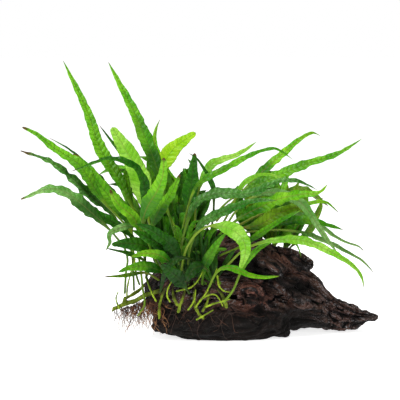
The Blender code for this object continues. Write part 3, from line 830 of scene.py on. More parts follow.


# Each single frond: tone, ruffle, bulge, brown, pale for painted light, deep for painted shade.
FROND_LOOKS: dict[str, Look] = {
    "tall_left": Look(Tone.MID, 0.9, 0.55, 0.012, 0.5, 0.15),
    "tall_middle": Look(Tone.MID, 1.0, 0.7, 0.012, 0.6, 0.9),
    "upper_left": Look(Tone.MID, 1.1, 0.34, 0.03, 0.5, 0.3),
    "wavy_left": Look(Tone.BLUE, 1.6, 0.4, 0.07, 0.6, 0.3),
    "low_left": Look(Tone.GREY, 1.3, 0.45, 0.03, 0.4, 1.0),
    "arched_left": Look(Tone.DARK, 0.7, 0.3, 0.04, 0.35, 0.0),
    "broad_left": Look(Tone.MID, 1.0, 0.36, 0.05, 0.45, 0.6),
    "thin_left": Look(Tone.DARK, 0.8, 0.25, 0.05, 0.2),
    "dark_low_left": Look(Tone.DARK, 1.1, 0.4, 0.05, 0.2),
    "small_dark_left": Look(Tone.DARK, 0.6, 0.25, 0.04, 0.2),
    "pale_blunt": Look(Tone.PALE, 0.5, 0.22, 0.0, 0.25),
    "yellow_crown": Look(Tone.YELLOW, 0.8, 0.26, 0.0, 0.05),
    "front_bright": Look(Tone.BRIGHT, 0.8, 0.3, 0.03, 0.2, 0.95),
    "front_middle": Look(Tone.MID, 1.0, 0.4, 0.05, 0.2, 1.0),
    "small_yellow": Look(Tone.BRIGHT, 1.5, 0.32, 0.08, 0.3, 0.2),
    "curled_pale": Look(Tone.GREY, 0.9, 0.3, 0.03, 0.2, 0.6),
    "oval_green": Look(Tone.DEEP, 0.7, 0.3, 0.0, 0.3, 0.3),
    "dark_centre_upper": Look(Tone.DARK, 1.0, 0.5, 0.02, 0.4),
    "dark_centre_lower": Look(Tone.DARK, 1.1, 0.5, 0.03, 0.2),
    "low_bright": Look(Tone.MID, 1.0, 0.4, 0.02, 0.0, 1.3),
    "low_brown": Look(Tone.OLIVE, 0.5, 0.2, 0.12, 0.0, 0.6),
    "low_thin": Look(Tone.DEEP, 0.5, 0.2, 0.05, 0.3),
    "folded_pale": Look(Tone.BRIGHT, 1.0, 0.35, 0.02, 0.0, 1.4),
    "low_dark_broad": Look(Tone.DARK, 1.0, 0.5, 0.03, 0.5),
    "hanging_spotted": Look(Tone.DEEP, 0.6, 0.3, 0.05, 0.0, 0.8),
    "small_lobed": Look(Tone.DEEP, 1.2, 0.4, 0.03, 0.2, 0.5),
    "top_dark": Look(Tone.DARK, 0.8, 0.45, 0.04, 0.2),
    "curly_dark": Look(Tone.DARK, 0.6, 0.25, 0.04),
    "right_rising_pale": Look(Tone.PALE, 0.8, 0.26, 0.01, 0.1),
    "right_arched": Look(Tone.MID, 0.7, 0.26, 0.01, 0.1, 0.3),
    "right_hooked": Look(Tone.BRIGHT, 0.8, 0.3, 0.02, 0.0, 0.5),
    "right_long": Look(Tone.MID, 0.9, 0.34, 0.01, 0.3, 0.3),
    "right_glossy": Look(Tone.BLUE, 0.9, 0.5, 0.01, 0.6, 0.3),
    "right_dark": Look(Tone.BLUE, 0.8, 0.4, 0.02, 0.6),
    "right_pale_arc": Look(Tone.PALE, 0.6, 0.22, 0.01),
    "right_bright": Look(Tone.BRIGHT, 1.6, 0.42, 0.01, 0.1, 0.8),
    "right_olive": Look(Tone.OLIVE, 1.0, 0.46, 0.02, 0.1, 0.5),
    "right_narrow_rib": Look(Tone.MID, 0.6, 0.3, 0.02, 0.0, 0.6),
    "right_neck": Look(Tone.MID, 0.9, 0.34, 0.03, 0.0, 0.7),
    "right_drooping": Look(Tone.GREY, 0.8, 0.3, 0.02, 0.6, 0.3),
    "right_low_thin": Look(Tone.GREY, 0.6, 0.22, 0.05, 0.5),
    "right_lowest_thin": Look(Tone.GREY, 0.6, 0.22, 0.05, 0.3, 0.3),
    "right_pair": Look(Tone.BRIGHT, 0.6, 0.22, 0.04),
    "right_pale_long": Look(Tone.PALE, 1.0, 0.3, 0.03, 0.2),
    "over_wood_arc": Look(Tone.MID, 0.5, 0.24, 0.02, 0.5),
    "over_wood_wave": Look(Tone.BRIGHT, 0.7, 0.24, 0.01, 0.3, 0.4),
    "bent_pale": Look(Tone.PALE, 1.0, 0.3, 0.0, 0.1),
    "fan_upper": Look(Tone.MID, 0.8, 0.3, 0.01, 0.0, 0.9),
    "back_left": Look(Tone.MID, 1.0, 0.36, 0.03, 0.2),
    "back_middle": Look(Tone.BRIGHT, 1.0, 0.34, 0.02),
    "back_right": Look(Tone.OLIVE, 1.1, 0.36, 0.04),
}


@dataclass
class Blade:
    """One leaf of the fern: a round stalk that opens into a ribbed, bulging, wavy blade."""

    rows: Rows
    look: Look
    seed: str
    columns: int = 40
    row_step: float = 1.15
    stalk_radius: float = 0.95
    sheet: float = 0.24
    rib: float = 0.42
    vein_step: float = LeafFinish.VEIN_STEP
    vein_slant: float = LeafFinish.VEIN_SLANT
    wave: float = 14.0

    # Painted shade, low in front of the crown where the leaves shade each other: the middle and the half
    # size of its place.
    OLD_AT = np.array((-40.0, -45.0, 60.0))
    OLD_SIZE = np.array((46.0, 60.0, 34.0))

    def grow(self, bm: bmesh.types.BMesh) -> None:
        """Adds the leaf to a mesh that has the layers of leaf_mesh.

        Args:
            bm: The mesh.
        """
        known = self.rows
        length = float(np.linalg.norm(np.diff(known.centres, axis=0), axis=1).sum())
        self.steps = int(length / self.row_step)
        self.centres = smooth_rows(known.centres, self.steps + 1)
        self.side = unit(smooth_rows(known.side, self.steps + 1))
        self.face = unit(smooth_rows(known.face, self.steps + 1))
        self.half = np.maximum(smooth_rows(known.half[:, None], self.steps + 1)[:, 0], 0.0)
        # A blade that is still broad at its last ring but one ends in a round tip.
        last = np.linspace(0.0, len(known.half) - 1.0, self.steps + 1) - (len(known.half) - 2)
        round_end = known.half[-2] * np.sqrt(np.clip(1 - last * last, 0.0, 1.0))
        if known.half[-2] > 0.3 * known.half.max():
            self.half = np.where(last > 0, round_end, self.half)
        self.share = np.linspace(0.0, 1.0, self.steps + 1)
        self.along = self.share * length
        # The stalk opens into a blade where the half width grows past the stalk's radius.
        widest = int(np.argmax(self.half))
        opened = max(self.stalk_radius * 2.2, self.half.max() * 0.5)
        open_width = smooth_step(self.stalk_radius * 1.1, opened, self.half)
        self.blade = np.where(self.share > self.share[widest], 1.0, open_width)
        self.opens_at = float(self.share[int(np.argmax(self.blade > 0.5))])
        draw = random.Random(self.seed)
        self.phases = [draw.uniform(0, math.tau) for _ in range(4)]
        self.offset = Vector((draw.uniform(0, 90), draw.uniform(0, 90), draw.uniform(0, 90)))
        self.place_layer = bm.verts.layers.float_vector["place"]
        self.age_layer = bm.verts.layers.float_vector["age"]
        rolled_grid(bm, self.columns, self.steps, self._place, self._mark)

    def _across(self, column: int) -> tuple[float, float]:
        """Places a column round the blade.

        Args:
            column: The column.

        Returns:
            The share across, from -1 to 1, and 1 on the front face or -1 on the back.
        """
        half = self.columns // 2
        if column <= half:
            return 1 - 2 * column / half, 1.0
        return -1 + 2 * (column - half) / half, -1.0

    def _lift(self, row: int, across: float) -> float:
        """Bends the sheet out of the blade's plane, in bulges, pits, ruffles and folds.

        Args:
            row: The row.
            across: The share across the blade.

        Returns:
            How far it stands out, in millimetres.
        """
        half = self.half[row]
        out = abs(across) * half
        along = self.along[row]
        blade = self.blade[row]
        spot = Vector((along * 0.11, across * half * 0.16, 0.0)) + self.offset
        drift = noise.noise(spot) * 1.6
        cell = (along - out * self.vein_slant + drift) / self.vein_step
        dome = abs(math.sin(math.pi * cell)) ** 0.8 - 0.55
        inner = (1 - math.exp(-((out / 1.1) ** 2))) * (1 - abs(across) ** 5)
        bulge = self.look.bulge * dome * inner * min(1.0, half / 4)
        pits = noise.noise(Vector((along * 0.42, across * half * 0.55, 3.0)) + self.offset) * 0.4
        first, second, third, sway = self.phases
        turn = math.tau * along / self.wave
        sign = 1.0 if across > 0 else -1.0
        ripple = math.sin(turn + first + sign * second) + 0.5 * math.sin(1.7 * turn + third + sign)
        ruffle = self.look.ruffle * 0.75 * ripple * across * across * min(1.0, half / 5)
        fold = 0.16 * out * (1.0 - 0.25 * abs(across))
        lean = 0.10 * across * half * math.sin(0.45 * turn + sway)
        return blade * (bulge + pits * self.look.bulge + ruffle + fold + lean)

    def _place(self, row: int, column: int) -> Vector:
        """Places one corner.

        Args:
            row: Its row.
            column: Its column.

        Returns:
            The place, in metres.
        """
        centre = self.centres[row]
        if row in (0, self.steps):
            return Vector(centre * MM)
        across, front = self._across(column)
        half = max(self.half[row], 0.08)
        blade = self.blade[row]
        rim = math.sqrt(max(0.0, 1 - across * across))
        swell = math.exp(-((across * half / 0.75) ** 2))
        thin = self.sheet * rim ** 0.6 + self.rib * swell * (0.35 if front > 0 else 1.0)
        thin = thin * min(1.0, (1.0 - self.share[row]) * 14)
        thick = (1 - blade) * self.stalk_radius * rim + blade * thin
        rise = self._lift(row, across) + front * thick
        edge = Vector((self.along[row] * 0.16, 4.0 if across > 0 else 9.0, 0.0)) + self.offset
        teeth = 0.12 * noise.noise(edge) + 0.10 * noise.noise(edge * 3.2)
        reach = across * half * (1 + blade * abs(across) * teeth)
        return Vector((centre + self.side[row] * reach + self.face[row] * rise) * MM)

    def _mark(self, vert: bmesh.types.BMVert, row: int, column: int) -> None:
        """Writes a corner's place on the blade, how far it has died back, its painted light and its painted
        shade.

        Args:
            vert: The corner.
            row: Its row.
            column: Its column.
        """
        across, _ = self._across(column)
        half = self.half[row]
        share = self.share[row]
        vert[self.place_layer] = (across * half, self.along[row], self.blade[row])
        spot = Vector((self.along[row] * 0.05, across * half * 0.1, 9.0)) + self.offset
        uneven = noise.noise(spot)
        brown = 0.0
        if self.look.brown > 0:
            brown = math.exp((share - 1.0) / self.look.brown * 1.2) * 1.15
        edge = max(0.0, abs(across) - 0.86) * 2.2 * max(0.0, uneven + self.look.brown)
        # Painted light: lit patches and glints, weaker on the back face.
        pale = self.look.pale * max(0.0, 0.7 + uneven * 1.6) * (1.0 if across > -0.1 else 0.35)
        opened = max(0.0, (share - self.opens_at) / (1 - self.opens_at))
        # Painted shade: dark near the blade's foot, and darkest low in front of the crown where leaves
        # shade each other.
        deep = (0.25 + self.look.deep) * max(0.0, 1.15 - 2.2 * opened + uneven)
        deep = deep if self.blade[row] > 0.5 or self.look.deep > 0.6 else min(deep, 0.4)
        away = np.linalg.norm((self.centres[row] - self.OLD_AT) / self.OLD_SIZE)
        deep = max(deep, math.exp(-float(away) ** 2)) if self.blade[row] > 0.5 else deep
        vert[self.age_layer] = (min(1.0, brown + edge), min(1.0, pale), min(1.0, deep))


def leaf_mesh() -> bmesh.types.BMesh:
    """Starts a mesh with the two layers that leaf finishes read.

    Returns:
        The empty mesh.
    """
    bm = bmesh.new()
    bm.verts.layers.float_vector.new("place")
    bm.verts.layers.float_vector.new("age")
    return bm


@dataclass
class Frond:
    """One frond over its own CAD solid."""

    node: str
    look: Look
    material: bpy.types.Material
    slot: str

    def build(self) -> bpy.types.Object:
        """Builds the frond.

        Returns:
            The piece.
        """
        bm = leaf_mesh()
        Blade(SolidRows(self.node), self.look, self.node).grow(bm)
        bmesh.ops.recalc_face_normals(bm, faces=bm.faces)
        return add_piece(self.node + "_leaf", bm, self.material, self.slot, [self.node])


@dataclass
class Bunch:
    """Many smaller fronds that fill the space of one CAD solid and root on the wood below it."""

    node: str
    tones: tuple[Tone, ...]
    wood: BVHTree
    materials: dict[Tone, bpy.types.Material]
    count: int
    width: tuple[float, float]
    crowns: int = 5
    spread: float = 88.0
    steps: int = 14
    columns: int = 20
    row_step: float = 2.0
    stalk_radius: float = 0.75

    def build(self) -> None:
        """Builds the fronds as one piece for each tone."""
        low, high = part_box(self.node)
        self.middle = (np.array(low) + np.array(high)) / 2 / MM
        self.half = (np.array(high) - np.array(low)) / 2 / MM
        self.draw = random.Random(self.node)
        for kind, tone in enumerate(self.tones):
            bm = leaf_mesh()
            for number in range(kind, self.count, len(self.tones)):
                look = Look(tone, self.draw.uniform(0.5, 1.4), self.draw.uniform(0.3, 0.55),
                            self.draw.choice((0.0, 0.015, 0.04)), self.draw.uniform(0.0, 0.8),
                            self.draw.uniform(0.65, 1.2))
                Blade(self._rows(number), look, self.node + str(number), self.columns, self.row_step,
                      self.stalk_radius).grow(bm)
            bmesh.ops.recalc_face_normals(bm, faces=bm.faces)
            add_piece(self.node + "_" + tone.value, bm, self.materials[tone], LEAF_FINISHES[tone].slot,
                      [self.node])

    def _rows(self, number: int) -> Rows:
        """Chooses the run and the width of one frond.

        Args:
            number: Which frond it is.

        Returns:
            Its rows.
        """
        share = (number + 0.5) / self.count
        angle = math.radians(self.spread * (2 * share - 1) + self.draw.uniform(-12, 12))
        reach = self.draw.uniform(-0.4, 0.98)
        depth = self.draw.uniform(-0.8, 0.8) * math.sqrt(1 - reach * reach)
        tip = self.middle + self.half * (math.sin(angle) * reach, depth, math.cos(angle) * reach)
        crown = round(share * (self.crowns - 1) + self.draw.uniform(-0.9, 0.9)) / (self.crowns - 1) - 0.5
        under = self.middle + self.half * (0.8 * crown, 0.0, -0.95)
        near, normal, _, _ = self.wood.find_nearest(Vector(under * MM))
        base = np.array(near + normal * 0.0004) / MM + (self.draw.uniform(-2, 2), 0, 0)
        run = tip - base
        bow = self.draw.uniform(-0.16, 0.16) * np.array((run[2], 0.0, -run[0]))
        rise = base + run * (0.42, 0.4, 0.52) + bow + (0, self.draw.uniform(-4, 4), 0)
        crest = base + run * (0.75, 0.8, 0.88) + 0.8 * bow + (0, self.draw.uniform(-3, 3), 0)
        centres = smooth_rows(np.array([base, (under + 2 * base) / 3, rise, crest, tip]), self.steps + 1)
        ahead = unit(np.gradient(centres, axis=0))
        front = np.array((self.draw.uniform(-0.7, 0.7), self.draw.choice((-1, -1, 1)),
                          self.draw.uniform(0.0, 0.5)))
        side = unit(np.cross(ahead, front))
        along = np.linspace(0.0, 1.0, self.steps + 1)
        stalk = self.draw.uniform(0.12, 0.3)
        blade = np.clip((along - stalk) / (1 - stalk), 0.0, 1.0)
        widest = self.draw.uniform(*self.width) / 2
        shape = smooth_step(0.0, 0.42, blade) * np.clip(1 - blade ** 1.9, 0.0, 1.0) ** 0.75
        stalked = self.stalk_radius + (widest - self.stalk_radius) * shape
        half = np.where(blade > 0.5, widest * shape, stalked)
        return Rows(centres, side, unit(np.cross(side, ahead)), half)


@dataclass
class Driftwood:
    """The weathered chunk: the CAD skin cut finer, then grooved, cracked and pitted."""

    node: str = "driftwood"
    voxel: float = 1.1
    groove: float = 8.0
    lump: float = 3.0
    crack: float = 3.4
    pit: float = 2.4
    hollow: float = 2.5
    snag_cut: float = 3.2
    deepest: float = -7.0
    highest: float = 3.0
    rest_band: float = 2.0
    sag: float = 3.5
    shorten: float = 0.5

    # The places and the sizes of the hollows that are sunk and painted with shade, so that they stay nearly
    # black.
    DARK_SPOTS = (
        ((56, -26, 55), 11), ((66, -20, 49), 9), ((75, -14, 42), 7), ((42, -46, 33), 10),
        ((53, -40, 27), 8), ((64, -26, 16), 10), ((78, -18, 12), 8), ((-6, -48, 46), 10),
        ((-68, -30, 34), 13), ((-58, -42, 26), 11), ((-70, -20, 18), 10), ((-44, -48, 30), 10),
    )
    # The height of the chunk's back along its length: grain lines keep their share of it.
    BACK_LINE = ((-78, 52), (-40, 80), (0, 88), (30, 82), (60, 62), (85, 39), (110, 27), (130, 20))
    GRAIN_HEIGHT = 62.0
    # The rubbed knob on the front, the tail's pointed tip and the top of the short snag.
    KNOB = (20, -46, 40)
    TIP = (132, -6, 13)
    SNAG = (76, -3, 58)

    def build(self) -> bpy.types.Object:
        """Builds the wood over its CAD node.

        Returns:
            The piece.
        """
        bm = fine_copy(self.node, self.voxel, 2)
        self.weather_layer = bm.verts.layers.float_vector.new("weather")
        self.zone_layer = bm.verts.layers.float_vector.new("zone")
        self.grain_layer = bm.verts.layers.float_vector.new("grain")
        moves = [self._weather(vert) for vert in bm.verts]
        for vert, move in zip(bm.verts, moves):
            vert.co += move
            vert.co.z = max(vert.co.z, 0.0)
        bm.normal_update()
        self.skin = BVHTree.FromBMesh(bm)
        return add_piece(self.node + "_skin", bm, WoodFinish().make("wet_bogwood"), "wet_wood", [self.node])

    def _grain(self, point: Vector) -> Vector:
        """A point in the wood's own run: along the fibres, into its depth and across them.

        Args:
            point: The point, in millimetres.

        Returns:
            The point in that run.
        """
        stations, heights = zip(*self.BACK_LINE)
        back = float(np.interp(point.x, stations, heights))
        sway = noise.noise(Vector((point.x * 0.02, point.y * 0.022, point.z * 0.022))) * 11
        return Vector((point.x, point.y + sway, point.z / back * self.GRAIN_HEIGHT + sway * 0.7))

    def _weather(self, vert: bmesh.types.BMVert) -> Vector:
        """How one corner moves, which also writes its weather, its zone and its grain.

        Args:
            vert: The corner.

        Returns:
            The move, in metres.
        """
        point = vert.co / MM
        # Grooves, splits and pits, all drawn out along the grain.
        run = self._grain(point)
        vert[self.grain_layer] = run * MM
        grain = Vector((run.x * 0.14, run.y, run.z))
        ridge = 1 - 3.2 * abs(noise.noise(grain * 0.058))
        fine = 1 - 2.6 * abs(noise.noise(grain * 0.15 + Vector((40, 7, 3))))
        fibre = 1 - 2 * abs(noise.noise(grain * 0.5 + Vector((5, 60, 21))))
        lumps = noise.fractal(point * 0.045 + Vector((9, 2, 30)), 0.8, 2.1, 2)
        torn = Vector((grain.x * 0.4, grain.y * 0.12, grain.z * 0.12))
        split = abs(noise.noise(torn + Vector((70, 1, 8))))
        # Where the corner lies: on the tail, low on the chunk, on the knob, in a hollow with painted shade.
        tail = float(smooth_step(58.0, 88.0, point.x))
        low = float(smooth_step(34.0, 20.0, point.z)) * (1 - tail)
        knob = math.exp(-(((point - Vector(self.KNOB)) * 0.07).length ** 2))
        rubbed = min(1.0, knob * 2.0 + 0.3 * float(smooth_step(0.1, 0.5, lumps)) * (1 - low))
        crack = max(0.0, 1 - split / (0.06 + 0.05 * tail)) * float(smooth_step(-0.4, 0.1, lumps))
        crack = crack * (1 - 0.6 * low)
        cell = Vector((point.x * 0.07, point.y * 0.13, point.z * 0.13)) + Vector((3, 3, 3))
        pits = max(0.0, 1 - noise.voronoi(cell)[0][0] / 0.3)
        pits = pits * float(smooth_step(-0.05, 0.25, noise.noise(point * 0.03 + Vector((11, 4, 2)))))
        height = 0.42 * ridge + 0.34 * fine + 0.16 * fibre
        shaded = max(math.exp(-1.4 * ((point - Vector(spot)).length / size) ** 2)
                     for spot, size in self.DARK_SPOTS)
        snag = math.exp(-(((point - Vector(self.SNAG)) / 8.0).length ** 2))
        # The rest face and the very tip stay still, and the tail's underside sags.
        calm = float(smooth_step(0.0, self.rest_band, point.z) * smooth_step(132.0, 116.0, point.x))
        under = float(smooth_step(44.0, 58.0, point.x))
        move = self.groove * (1 - 0.5 * low - 0.3 * tail) * (height - 0.22) + self.lump * (lumps - 0.1)
        move = move - self.crack * crack - self.pit * pits - self.hollow * shaded
        move = max(self.deepest, min(self.highest, move)) + self.sag * max(0.0, -vert.normal.z) * under
        move = (move - self.snag_cut * snag) * calm
        # The relief's height less its pits and cracks: it sets the painted shade in the grooves and the
        # painted light on the crests.
        shade = max(0.0, min(1.0, 0.3 + 0.8 * height - 0.5 * pits - 0.3 * crack))
        vert[self.weather_layer] = (shade, min(1.0, crack + pits * 0.8), tail)
        vert[self.zone_layer] = (low, rubbed, shaded)
        return vert.normal * (move * MM) + self._slim(point) * MM

    def _slim(self, point: Vector) -> Vector:
        """How far a point of the tail is drawn towards the tail's low, pointed tip.

        Args:
            point: The point, in millimetres.

        Returns:
            The move, in millimetres.
        """
        share = float(smooth_step(72.0, 130.0, point.x))
        tip = Vector(self.TIP)
        return Vector((-self.shorten * share, (tip.y - point.y) * share * 0.25,
                       min(0.0, tip.z - point.z) * share * 0.55))


@dataclass
class Rhizome:
    """A creeping rhizome: the CAD stem swollen into uneven, scaly joints."""

    node: str
    material: bpy.types.Material
    voxel: float = 0.55
    swell: float = 0.5
    cut_at: float | None = None
    # Above this height the rhizome runs under the crown: it gets painted shade and is drawn a little
    # thinner.
    old_above: float = 46.0

    def build(self) -> bpy.types.Object:
        """Builds the rhizome over its CAD node.

        Returns:
            The piece.
        """
        bm = fine_copy(self.node, self.voxel, 1)
        old = bm.verts.layers.float.new("old")
        for vert in bm.verts:
            point = vert.co / MM
            knots = noise.noise(point * 0.2 + Vector((4, 4, 4)))
            scales = 1 - 2 * abs(noise.noise(point * 0.75))
            vert[old] = float(smooth_step(self.old_above - 8, self.old_above + 4, point.z + 9 * knots))
            swelling = 1.6 * knots + 0.5 * scales - 0.5 * vert[old] - 0.7
            vert.co += vert.normal * (self.swell * swelling * MM)
        if self.cut_at is not None:
            self._cut(bm)
        bm.normal_update()
        return add_piece(self.node + "_skin", bm, self.material, "rhizome_skin", [self.node])

    def _cut(self, bm: bmesh.types.BMesh) -> None:
        """Cuts the free end flat and marks the cut face.

        Args:
            bm: The rhizome's mesh.
        """
        where = self.cut_at * MM
        everything = bm.verts[:] + bm.edges[:] + bm.faces[:]
        cut = bmesh.ops.bisect_plane(bm, geom=everything, plane_co=(where, 0, 0), plane_no=(-1, 0, 0.2),
                                     clear_outer=True)
        rim = [thing for thing in cut["geom_cut"] if isinstance(thing, bmesh.types.BMEdge)]
        lids = bmesh.ops.contextual_create(bm, geom=rim)["faces"]
        inner = bmesh.ops.inset_region(bm, faces=lids, thickness=0.5 * MM, depth=0.15 * MM)["faces"]
        layer = bm.verts.layers.float.new("cut")
        for face in lids + inner:
            for vert in face.verts:
                vert[layer] = 1.0


@dataclass
class BareStalks:
    """Thin bare leaf stalks that bend across the front of the wood between the stems."""

    material: bpy.types.Material
    sides: int = 8
    steps: int = 24
    radius: float = 0.62

    ROUTES = (
        ((-46, -56, 46), (-40, -58, 48), (-33, -58, 50), (-27, -57, 56), (-23, -53, 63)),
        ((-30, -57, 32), (-25, -58, 39), (-20, -58, 46), (-15, -57, 57), (-11, -54, 66)),
        ((-29, -57, 22), (-24, -58, 25), (-19, -58, 28), (-14, -58, 31)),
        ((-24, -56, 40), (-19, -58, 43), (-14, -58, 44), (-10, -58, 41), (-6, -57, 33)),
        ((-21, -57, 33), (-14, -58, 36), (-7, -58, 38), (0, -57, 40)),
        ((-11, -55, 60), (-10, -57, 52), (-6, -57, 47), (1, -55, 45)),
        ((-36, -56, 30), (-33, -57, 34), (-30, -57, 40), (-29, -55, 48)),
        ((-62, -50, 36), (-65, -52, 42), (-68, -52, 49), (-72, -48, 58)),
        ((-50, -53, 36), (-53, -55, 42), (-52, -56, 49), (-48, -54, 56)),
        ((-88, -27, 36), (-87, -29, 46), (-84, -31, 58), (-80, -32, 70)),
        ((-94, -27, 25), (-96, -28, 30), (-97, -28, 35), (-95, -28, 41)),
    )

    def build(self) -> bpy.types.Object:
        """Builds every stalk as one piece.

        Returns:
            The piece.
        """
        bm = bmesh.new()
        for number, knots in enumerate(self.ROUTES):
            route = smooth_rows(np.array(knots, float), self.steps + 1)
            radii = [self._radius(number, len(knots) - 1, row) for row in range(self.steps + 1)]
            tube(bm, self.sides, route, radii, (0.2, 0.9, 0.1))
        bmesh.ops.recalc_face_normals(bm, faces=bm.faces)
        return add_piece("bare_stalks", bm, self.material, "rhizome_skin")

    def _radius(self, number: int, joints: int, row: int) -> float:
        """Works out a stalk's radius, which tapers and swells at the joints.

        Args:
            number: Which stalk it is.
            joints: How many stretches it has between joints.
            row: The row along it.

        Returns:
            The radius, in millimetres.
        """
        bumps = 1 + 0.25 * noise.noise(Vector((row * 0.35, number * 5.0, 0.0)))
        joint = abs(math.cos(math.pi * joints * row / self.steps)) ** 10
        return self.radius * (bumps + 0.35 * joint) * (1.3 - 0.6 * row / self.steps)


@dataclass
class HairRoots:
    """The wiry roots: a bunch that hangs under the left stems and runners that hug the wood."""

    wood: BVHTree
    material: bpy.types.Material
    damp_material: bpy.types.Material
    sides: int = 5
    steps: int = 16
    hanging: int = 190
    clumps: int = 13
    hugging: int = 40
    radius: tuple[float, float] = (0.18, 0.4)
    draw: random.Random = field(default_factory=lambda: random.Random(7))

    HANG_LINE = ((-98, -26, 25), (-90, -26, 27), (-82, -27, 29), (-76, -31, 32), (-70, -38, 36),
                 (-63, -44, 38))
    HANG_LOW = 5.0

    def build(self) -> None:
        """Builds the hanging bunch and the runners as one piece each."""
        for name, count, route, fade, material, nodes in (
            ("hanging", self.hanging, self._hanging_route, 1.0, self.material, ["root_tuft"]),
            ("on_wood", self.hugging, self._hugging_route, 0.3, self.damp_material, []),
        ):
            bm = bmesh.new()
            layer = bm.verts.layers.float.new("share")
            for _ in range(count):
                self._root(bm, layer, route(), fade)
            bmesh.ops.recalc_face_normals(bm, faces=bm.faces)
            add_piece("hair_roots_" + name, bm, material, "root_hair", nodes)

    def _hanging_route(self) -> np.ndarray:
        """Draws a wandering route that falls from the left stems.

        Returns:
            Its rows, in millimetres.
        """
        line = smooth_rows(np.array(self.HANG_LINE, float), self.clumps)
        clump = int(self.clumps * self.draw.random() ** 0.6)
        start = line[clump]
        start = start + (self.draw.gauss(0, 1.3), self.draw.uniform(-1.5, 1.5), self.draw.uniform(-1, 1))
        reach = 8 + 22 * clump / self.clumps
        fall = min(start[2] - self.HANG_LOW, self.draw.uniform(4, 13) + self.draw.random() ** 2 * reach)
        drift = self.draw.uniform(-9, 11), self.draw.uniform(-8, 6)
        seed = Vector((self.draw.uniform(0, 99), 0, 0))
        rows = []
        for k in range(self.steps + 1):
            t = k / self.steps
            curl = noise.noise_vector(Vector((t * 3.2, 0, 0)) + seed) * 6.5 * t
            rows.append(start + np.array((drift[0] * t, drift[1] * t, -fall * t ** 0.85)) + np.array(curl))
        rows = np.array(rows)
        rows[:, 2] = np.maximum(rows[:, 2], 0.6)
        return rows

    def _hugging_route(self) -> np.ndarray:
        """Draws a route that wanders down the wood's front from the stems.

        Returns:
            Its rows, in millimetres.
        """
        start = Vector((self.draw.uniform(-72, 6), -60, self.draw.uniform(22, 48)))
        heading = Vector((self.draw.uniform(-0.9, 1.3), 0, -self.draw.uniform(0.3, 1.1))).normalized()
        stride = self.draw.uniform(0.8, 2.3)
        seed = Vector((self.draw.uniform(0, 99), 0, 0))
        rows = []
        point = start
        for k in range(self.steps + 1):
            near, normal, _, _ = self.wood.find_nearest(point * MM)
            hug = near / MM + normal * 0.35
            rows.append(np.array(hug))
            bend = noise.noise_vector(Vector((k * 0.22, 0, 0)) + seed) * 1.1
            point = hug + (heading + bend) * stride
            point.z = max(point.z, 1.5)
        rows = np.array(rows)
        rows[1:-1] = 0.25 * rows[:-2] + 0.5 * rows[1:-1] + 0.25 * rows[2:]
        return rows

    def _root(self, bm: bmesh.types.BMesh, layer: Any, route: np.ndarray, fade: float) -> None:
        """Adds one tapered root along a route.

        Args:
            bm: The mesh that it is added to.
            layer: The attribute that keeps the share of its length.
            route: Its rows, in millimetres.
            fade: How far its colour fades to tan at the tip.
        """
        last = len(route) - 1
        radius = self.draw.uniform(*self.radius)
        radii = [radius * (1 - 0.6 * row / last) for row in range(last + 1)]

        def mark(vert: bmesh.types.BMVert, row: int, column: int) -> None:
            """Writes the share of the root's length."""
            vert[layer] = fade * row / last

        tube(bm, self.sides, route, radii, (0.31, 0.82, 0.11), mark)


@dataclass
class Fern:
    """The whole plant: rhizomes, stalks, roots, fronds and the inner bunches."""

    wood: BVHTree

    CUT_AT = -105.4
    BUNCHES = (
        ("inner_fronds_left", (Tone.DEEP, Tone.MID), 80, (7.0, 14.0)),
        ("inner_fronds_right", (Tone.MID, Tone.OLIVE), 44, (7.0, 14.0)),
        ("inner_fronds_front", (Tone.DEEP, Tone.MID), 96, (4.5, 9.0)),
    )

    def build(self) -> None:
        """Builds every piece of the plant."""
        skin = RhizomeFinish().make("rhizome_skin")
        for node in ("rhizome_left", "rhizome_upper_left", "rhizome_front", "rhizome_top"):
            Rhizome(node, skin, cut_at=self.CUT_AT if node == "rhizome_left" else None).build()
        young = RhizomeFinish(*displays((150, 178, 40), (98, 124, 20), (74, 62, 20)))
        BareStalks(young.make("stalk_skin")).build()
        # The roots on the wood take darker colours than the hanging ones.
        darker_roots = RootFinish(*displays((34, 19, 12), (96, 56, 32), (130, 92, 56)))
        HairRoots(self.wood, RootFinish().make("root_hair"), darker_roots.make("root_hair_on_wood")).build()
        tones = {tone: finish.make("leaf_" + tone.value) for tone, finish in LEAF_FINISHES.items()}
        for name, look in FROND_LOOKS.items():
            Frond("frond_" + name, look, tones[look.tone], LEAF_FINISHES[look.tone].slot).build()
        for node, kinds, count, width in self.BUNCHES:
            Bunch(node, kinds, self.wood, tones, count, width).build()


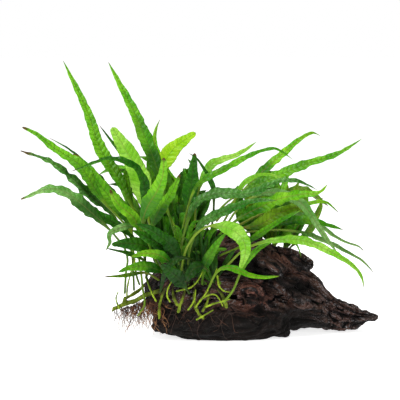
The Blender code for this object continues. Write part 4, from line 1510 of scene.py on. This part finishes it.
@dataclass
class Studio:
    """Pale sweep, soft lights and the camera."""

    aim: tuple[float, float, float] = (-25.5, -20.0, 118.2)
    distance: float = 1500.0
    elevation: float = 8.0
    view_width: float = 340.0
    floor_radius: float = 4000.0
    floor_glow: float = 0.74
    fill: float = 0.42
    sheen: float = 0.1

    # Each soft light: its name, its place and its size in millimetres, and its power in watts.
    LIGHTS = (
        ("top", (-250, -350, 1150), 340, 10.2),
        ("left", (-1000, -650, 600), 260, 4.2),
        ("right", (900, -850, 650), 260, 3.3),
    )

    def build(self) -> None:
        """Builds the studio."""
        self._floor()
        self._lights()
        self._camera()

    def _floor(self) -> None:
        """A plain white floor, lit a little from within so that it meets the surroundings."""
        bm = bmesh.new()
        bmesh.ops.create_circle(bm, cap_ends=True, segments=64, radius=self.floor_radius * MM)
        mesh = bpy.data.meshes.new("floor")
        bm.to_mesh(mesh)
        bm.free()
        g = Graph("pale_floor", Roughness=0.9, Base_Color=(0.88, 0.88, 0.88, 1.0),
                  Emission_Color=(1.0, 1.0, 1.0, 1.0), Emission_Strength=self.floor_glow)
        mesh.materials.append(g.material)
        floor = bpy.data.objects.new("floor", mesh)
        bpy.context.collection.objects.link(floor)

    def _lights(self) -> None:
        """Adds the lights and the surroundings: white to the camera, dimmer fill, dark gloss."""
        world = bpy.data.worlds.new("surroundings")
        world.use_nodes = True
        nodes, links = world.node_tree.nodes, world.node_tree.links
        seen = nodes.new("ShaderNodeLightPath")
        soft = nodes.new("ShaderNodeMapRange")
        soft.inputs["To Min"].default_value = self.fill
        soft.inputs["To Max"].default_value = self.sheen
        links.new(seen.outputs["Is Glossy Ray"], soft.inputs["Value"])
        level = nodes.new("ShaderNodeMapRange")
        links.new(soft.outputs["Result"], level.inputs["To Min"])
        links.new(seen.outputs["Is Camera Ray"], level.inputs["Value"])
        nodes["Background"].inputs["Color"].default_value = (1, 1, 1, 1)
        links.new(level.outputs["Result"], nodes["Background"].inputs["Strength"])
        bpy.context.scene.world = world
        for name, place, size, power in self.LIGHTS:
            data = bpy.data.lights.new(name, "AREA")
            data.size = size * MM
            data.energy = power
            light = bpy.data.objects.new(name, data)
            light.location = Vector(place) * MM
            aim = Vector(self.aim) * MM - light.location
            light.rotation_euler = aim.to_track_quat("-Z", "Y").to_euler()
            bpy.context.collection.objects.link(light)

    def _camera(self) -> None:
        """The camera, slightly above the front."""
        data = bpy.data.cameras.new("camera")
        data.lens = data.sensor_width * self.distance / self.view_width
        data.clip_end = 50.0
        camera = bpy.data.objects.new("camera", data)
        rise = math.radians(self.elevation)
        back = Vector((0.0, -math.cos(rise), math.sin(rise)))
        camera.location = (Vector(self.aim) + back * self.distance) * MM
        camera.rotation_euler = (-back).to_track_quat("-Z", "Y").to_euler()
        bpy.context.collection.objects.link(camera)
        bpy.context.scene.camera = camera
        bpy.context.scene.view_settings.view_transform = "Standard"


def main() -> None:
    """Builds the wood, the plant and the studio."""
    logging.basicConfig(level=logging.INFO, format="%(message)s")
    noise.seed_set(NOISE_SEED)
    wood = Driftwood()
    wood.build()
    Fern(wood.skin).build()
    Studio().build()
    bpy.context.view_layer.update()


if __name__ == "__main__":
    main()
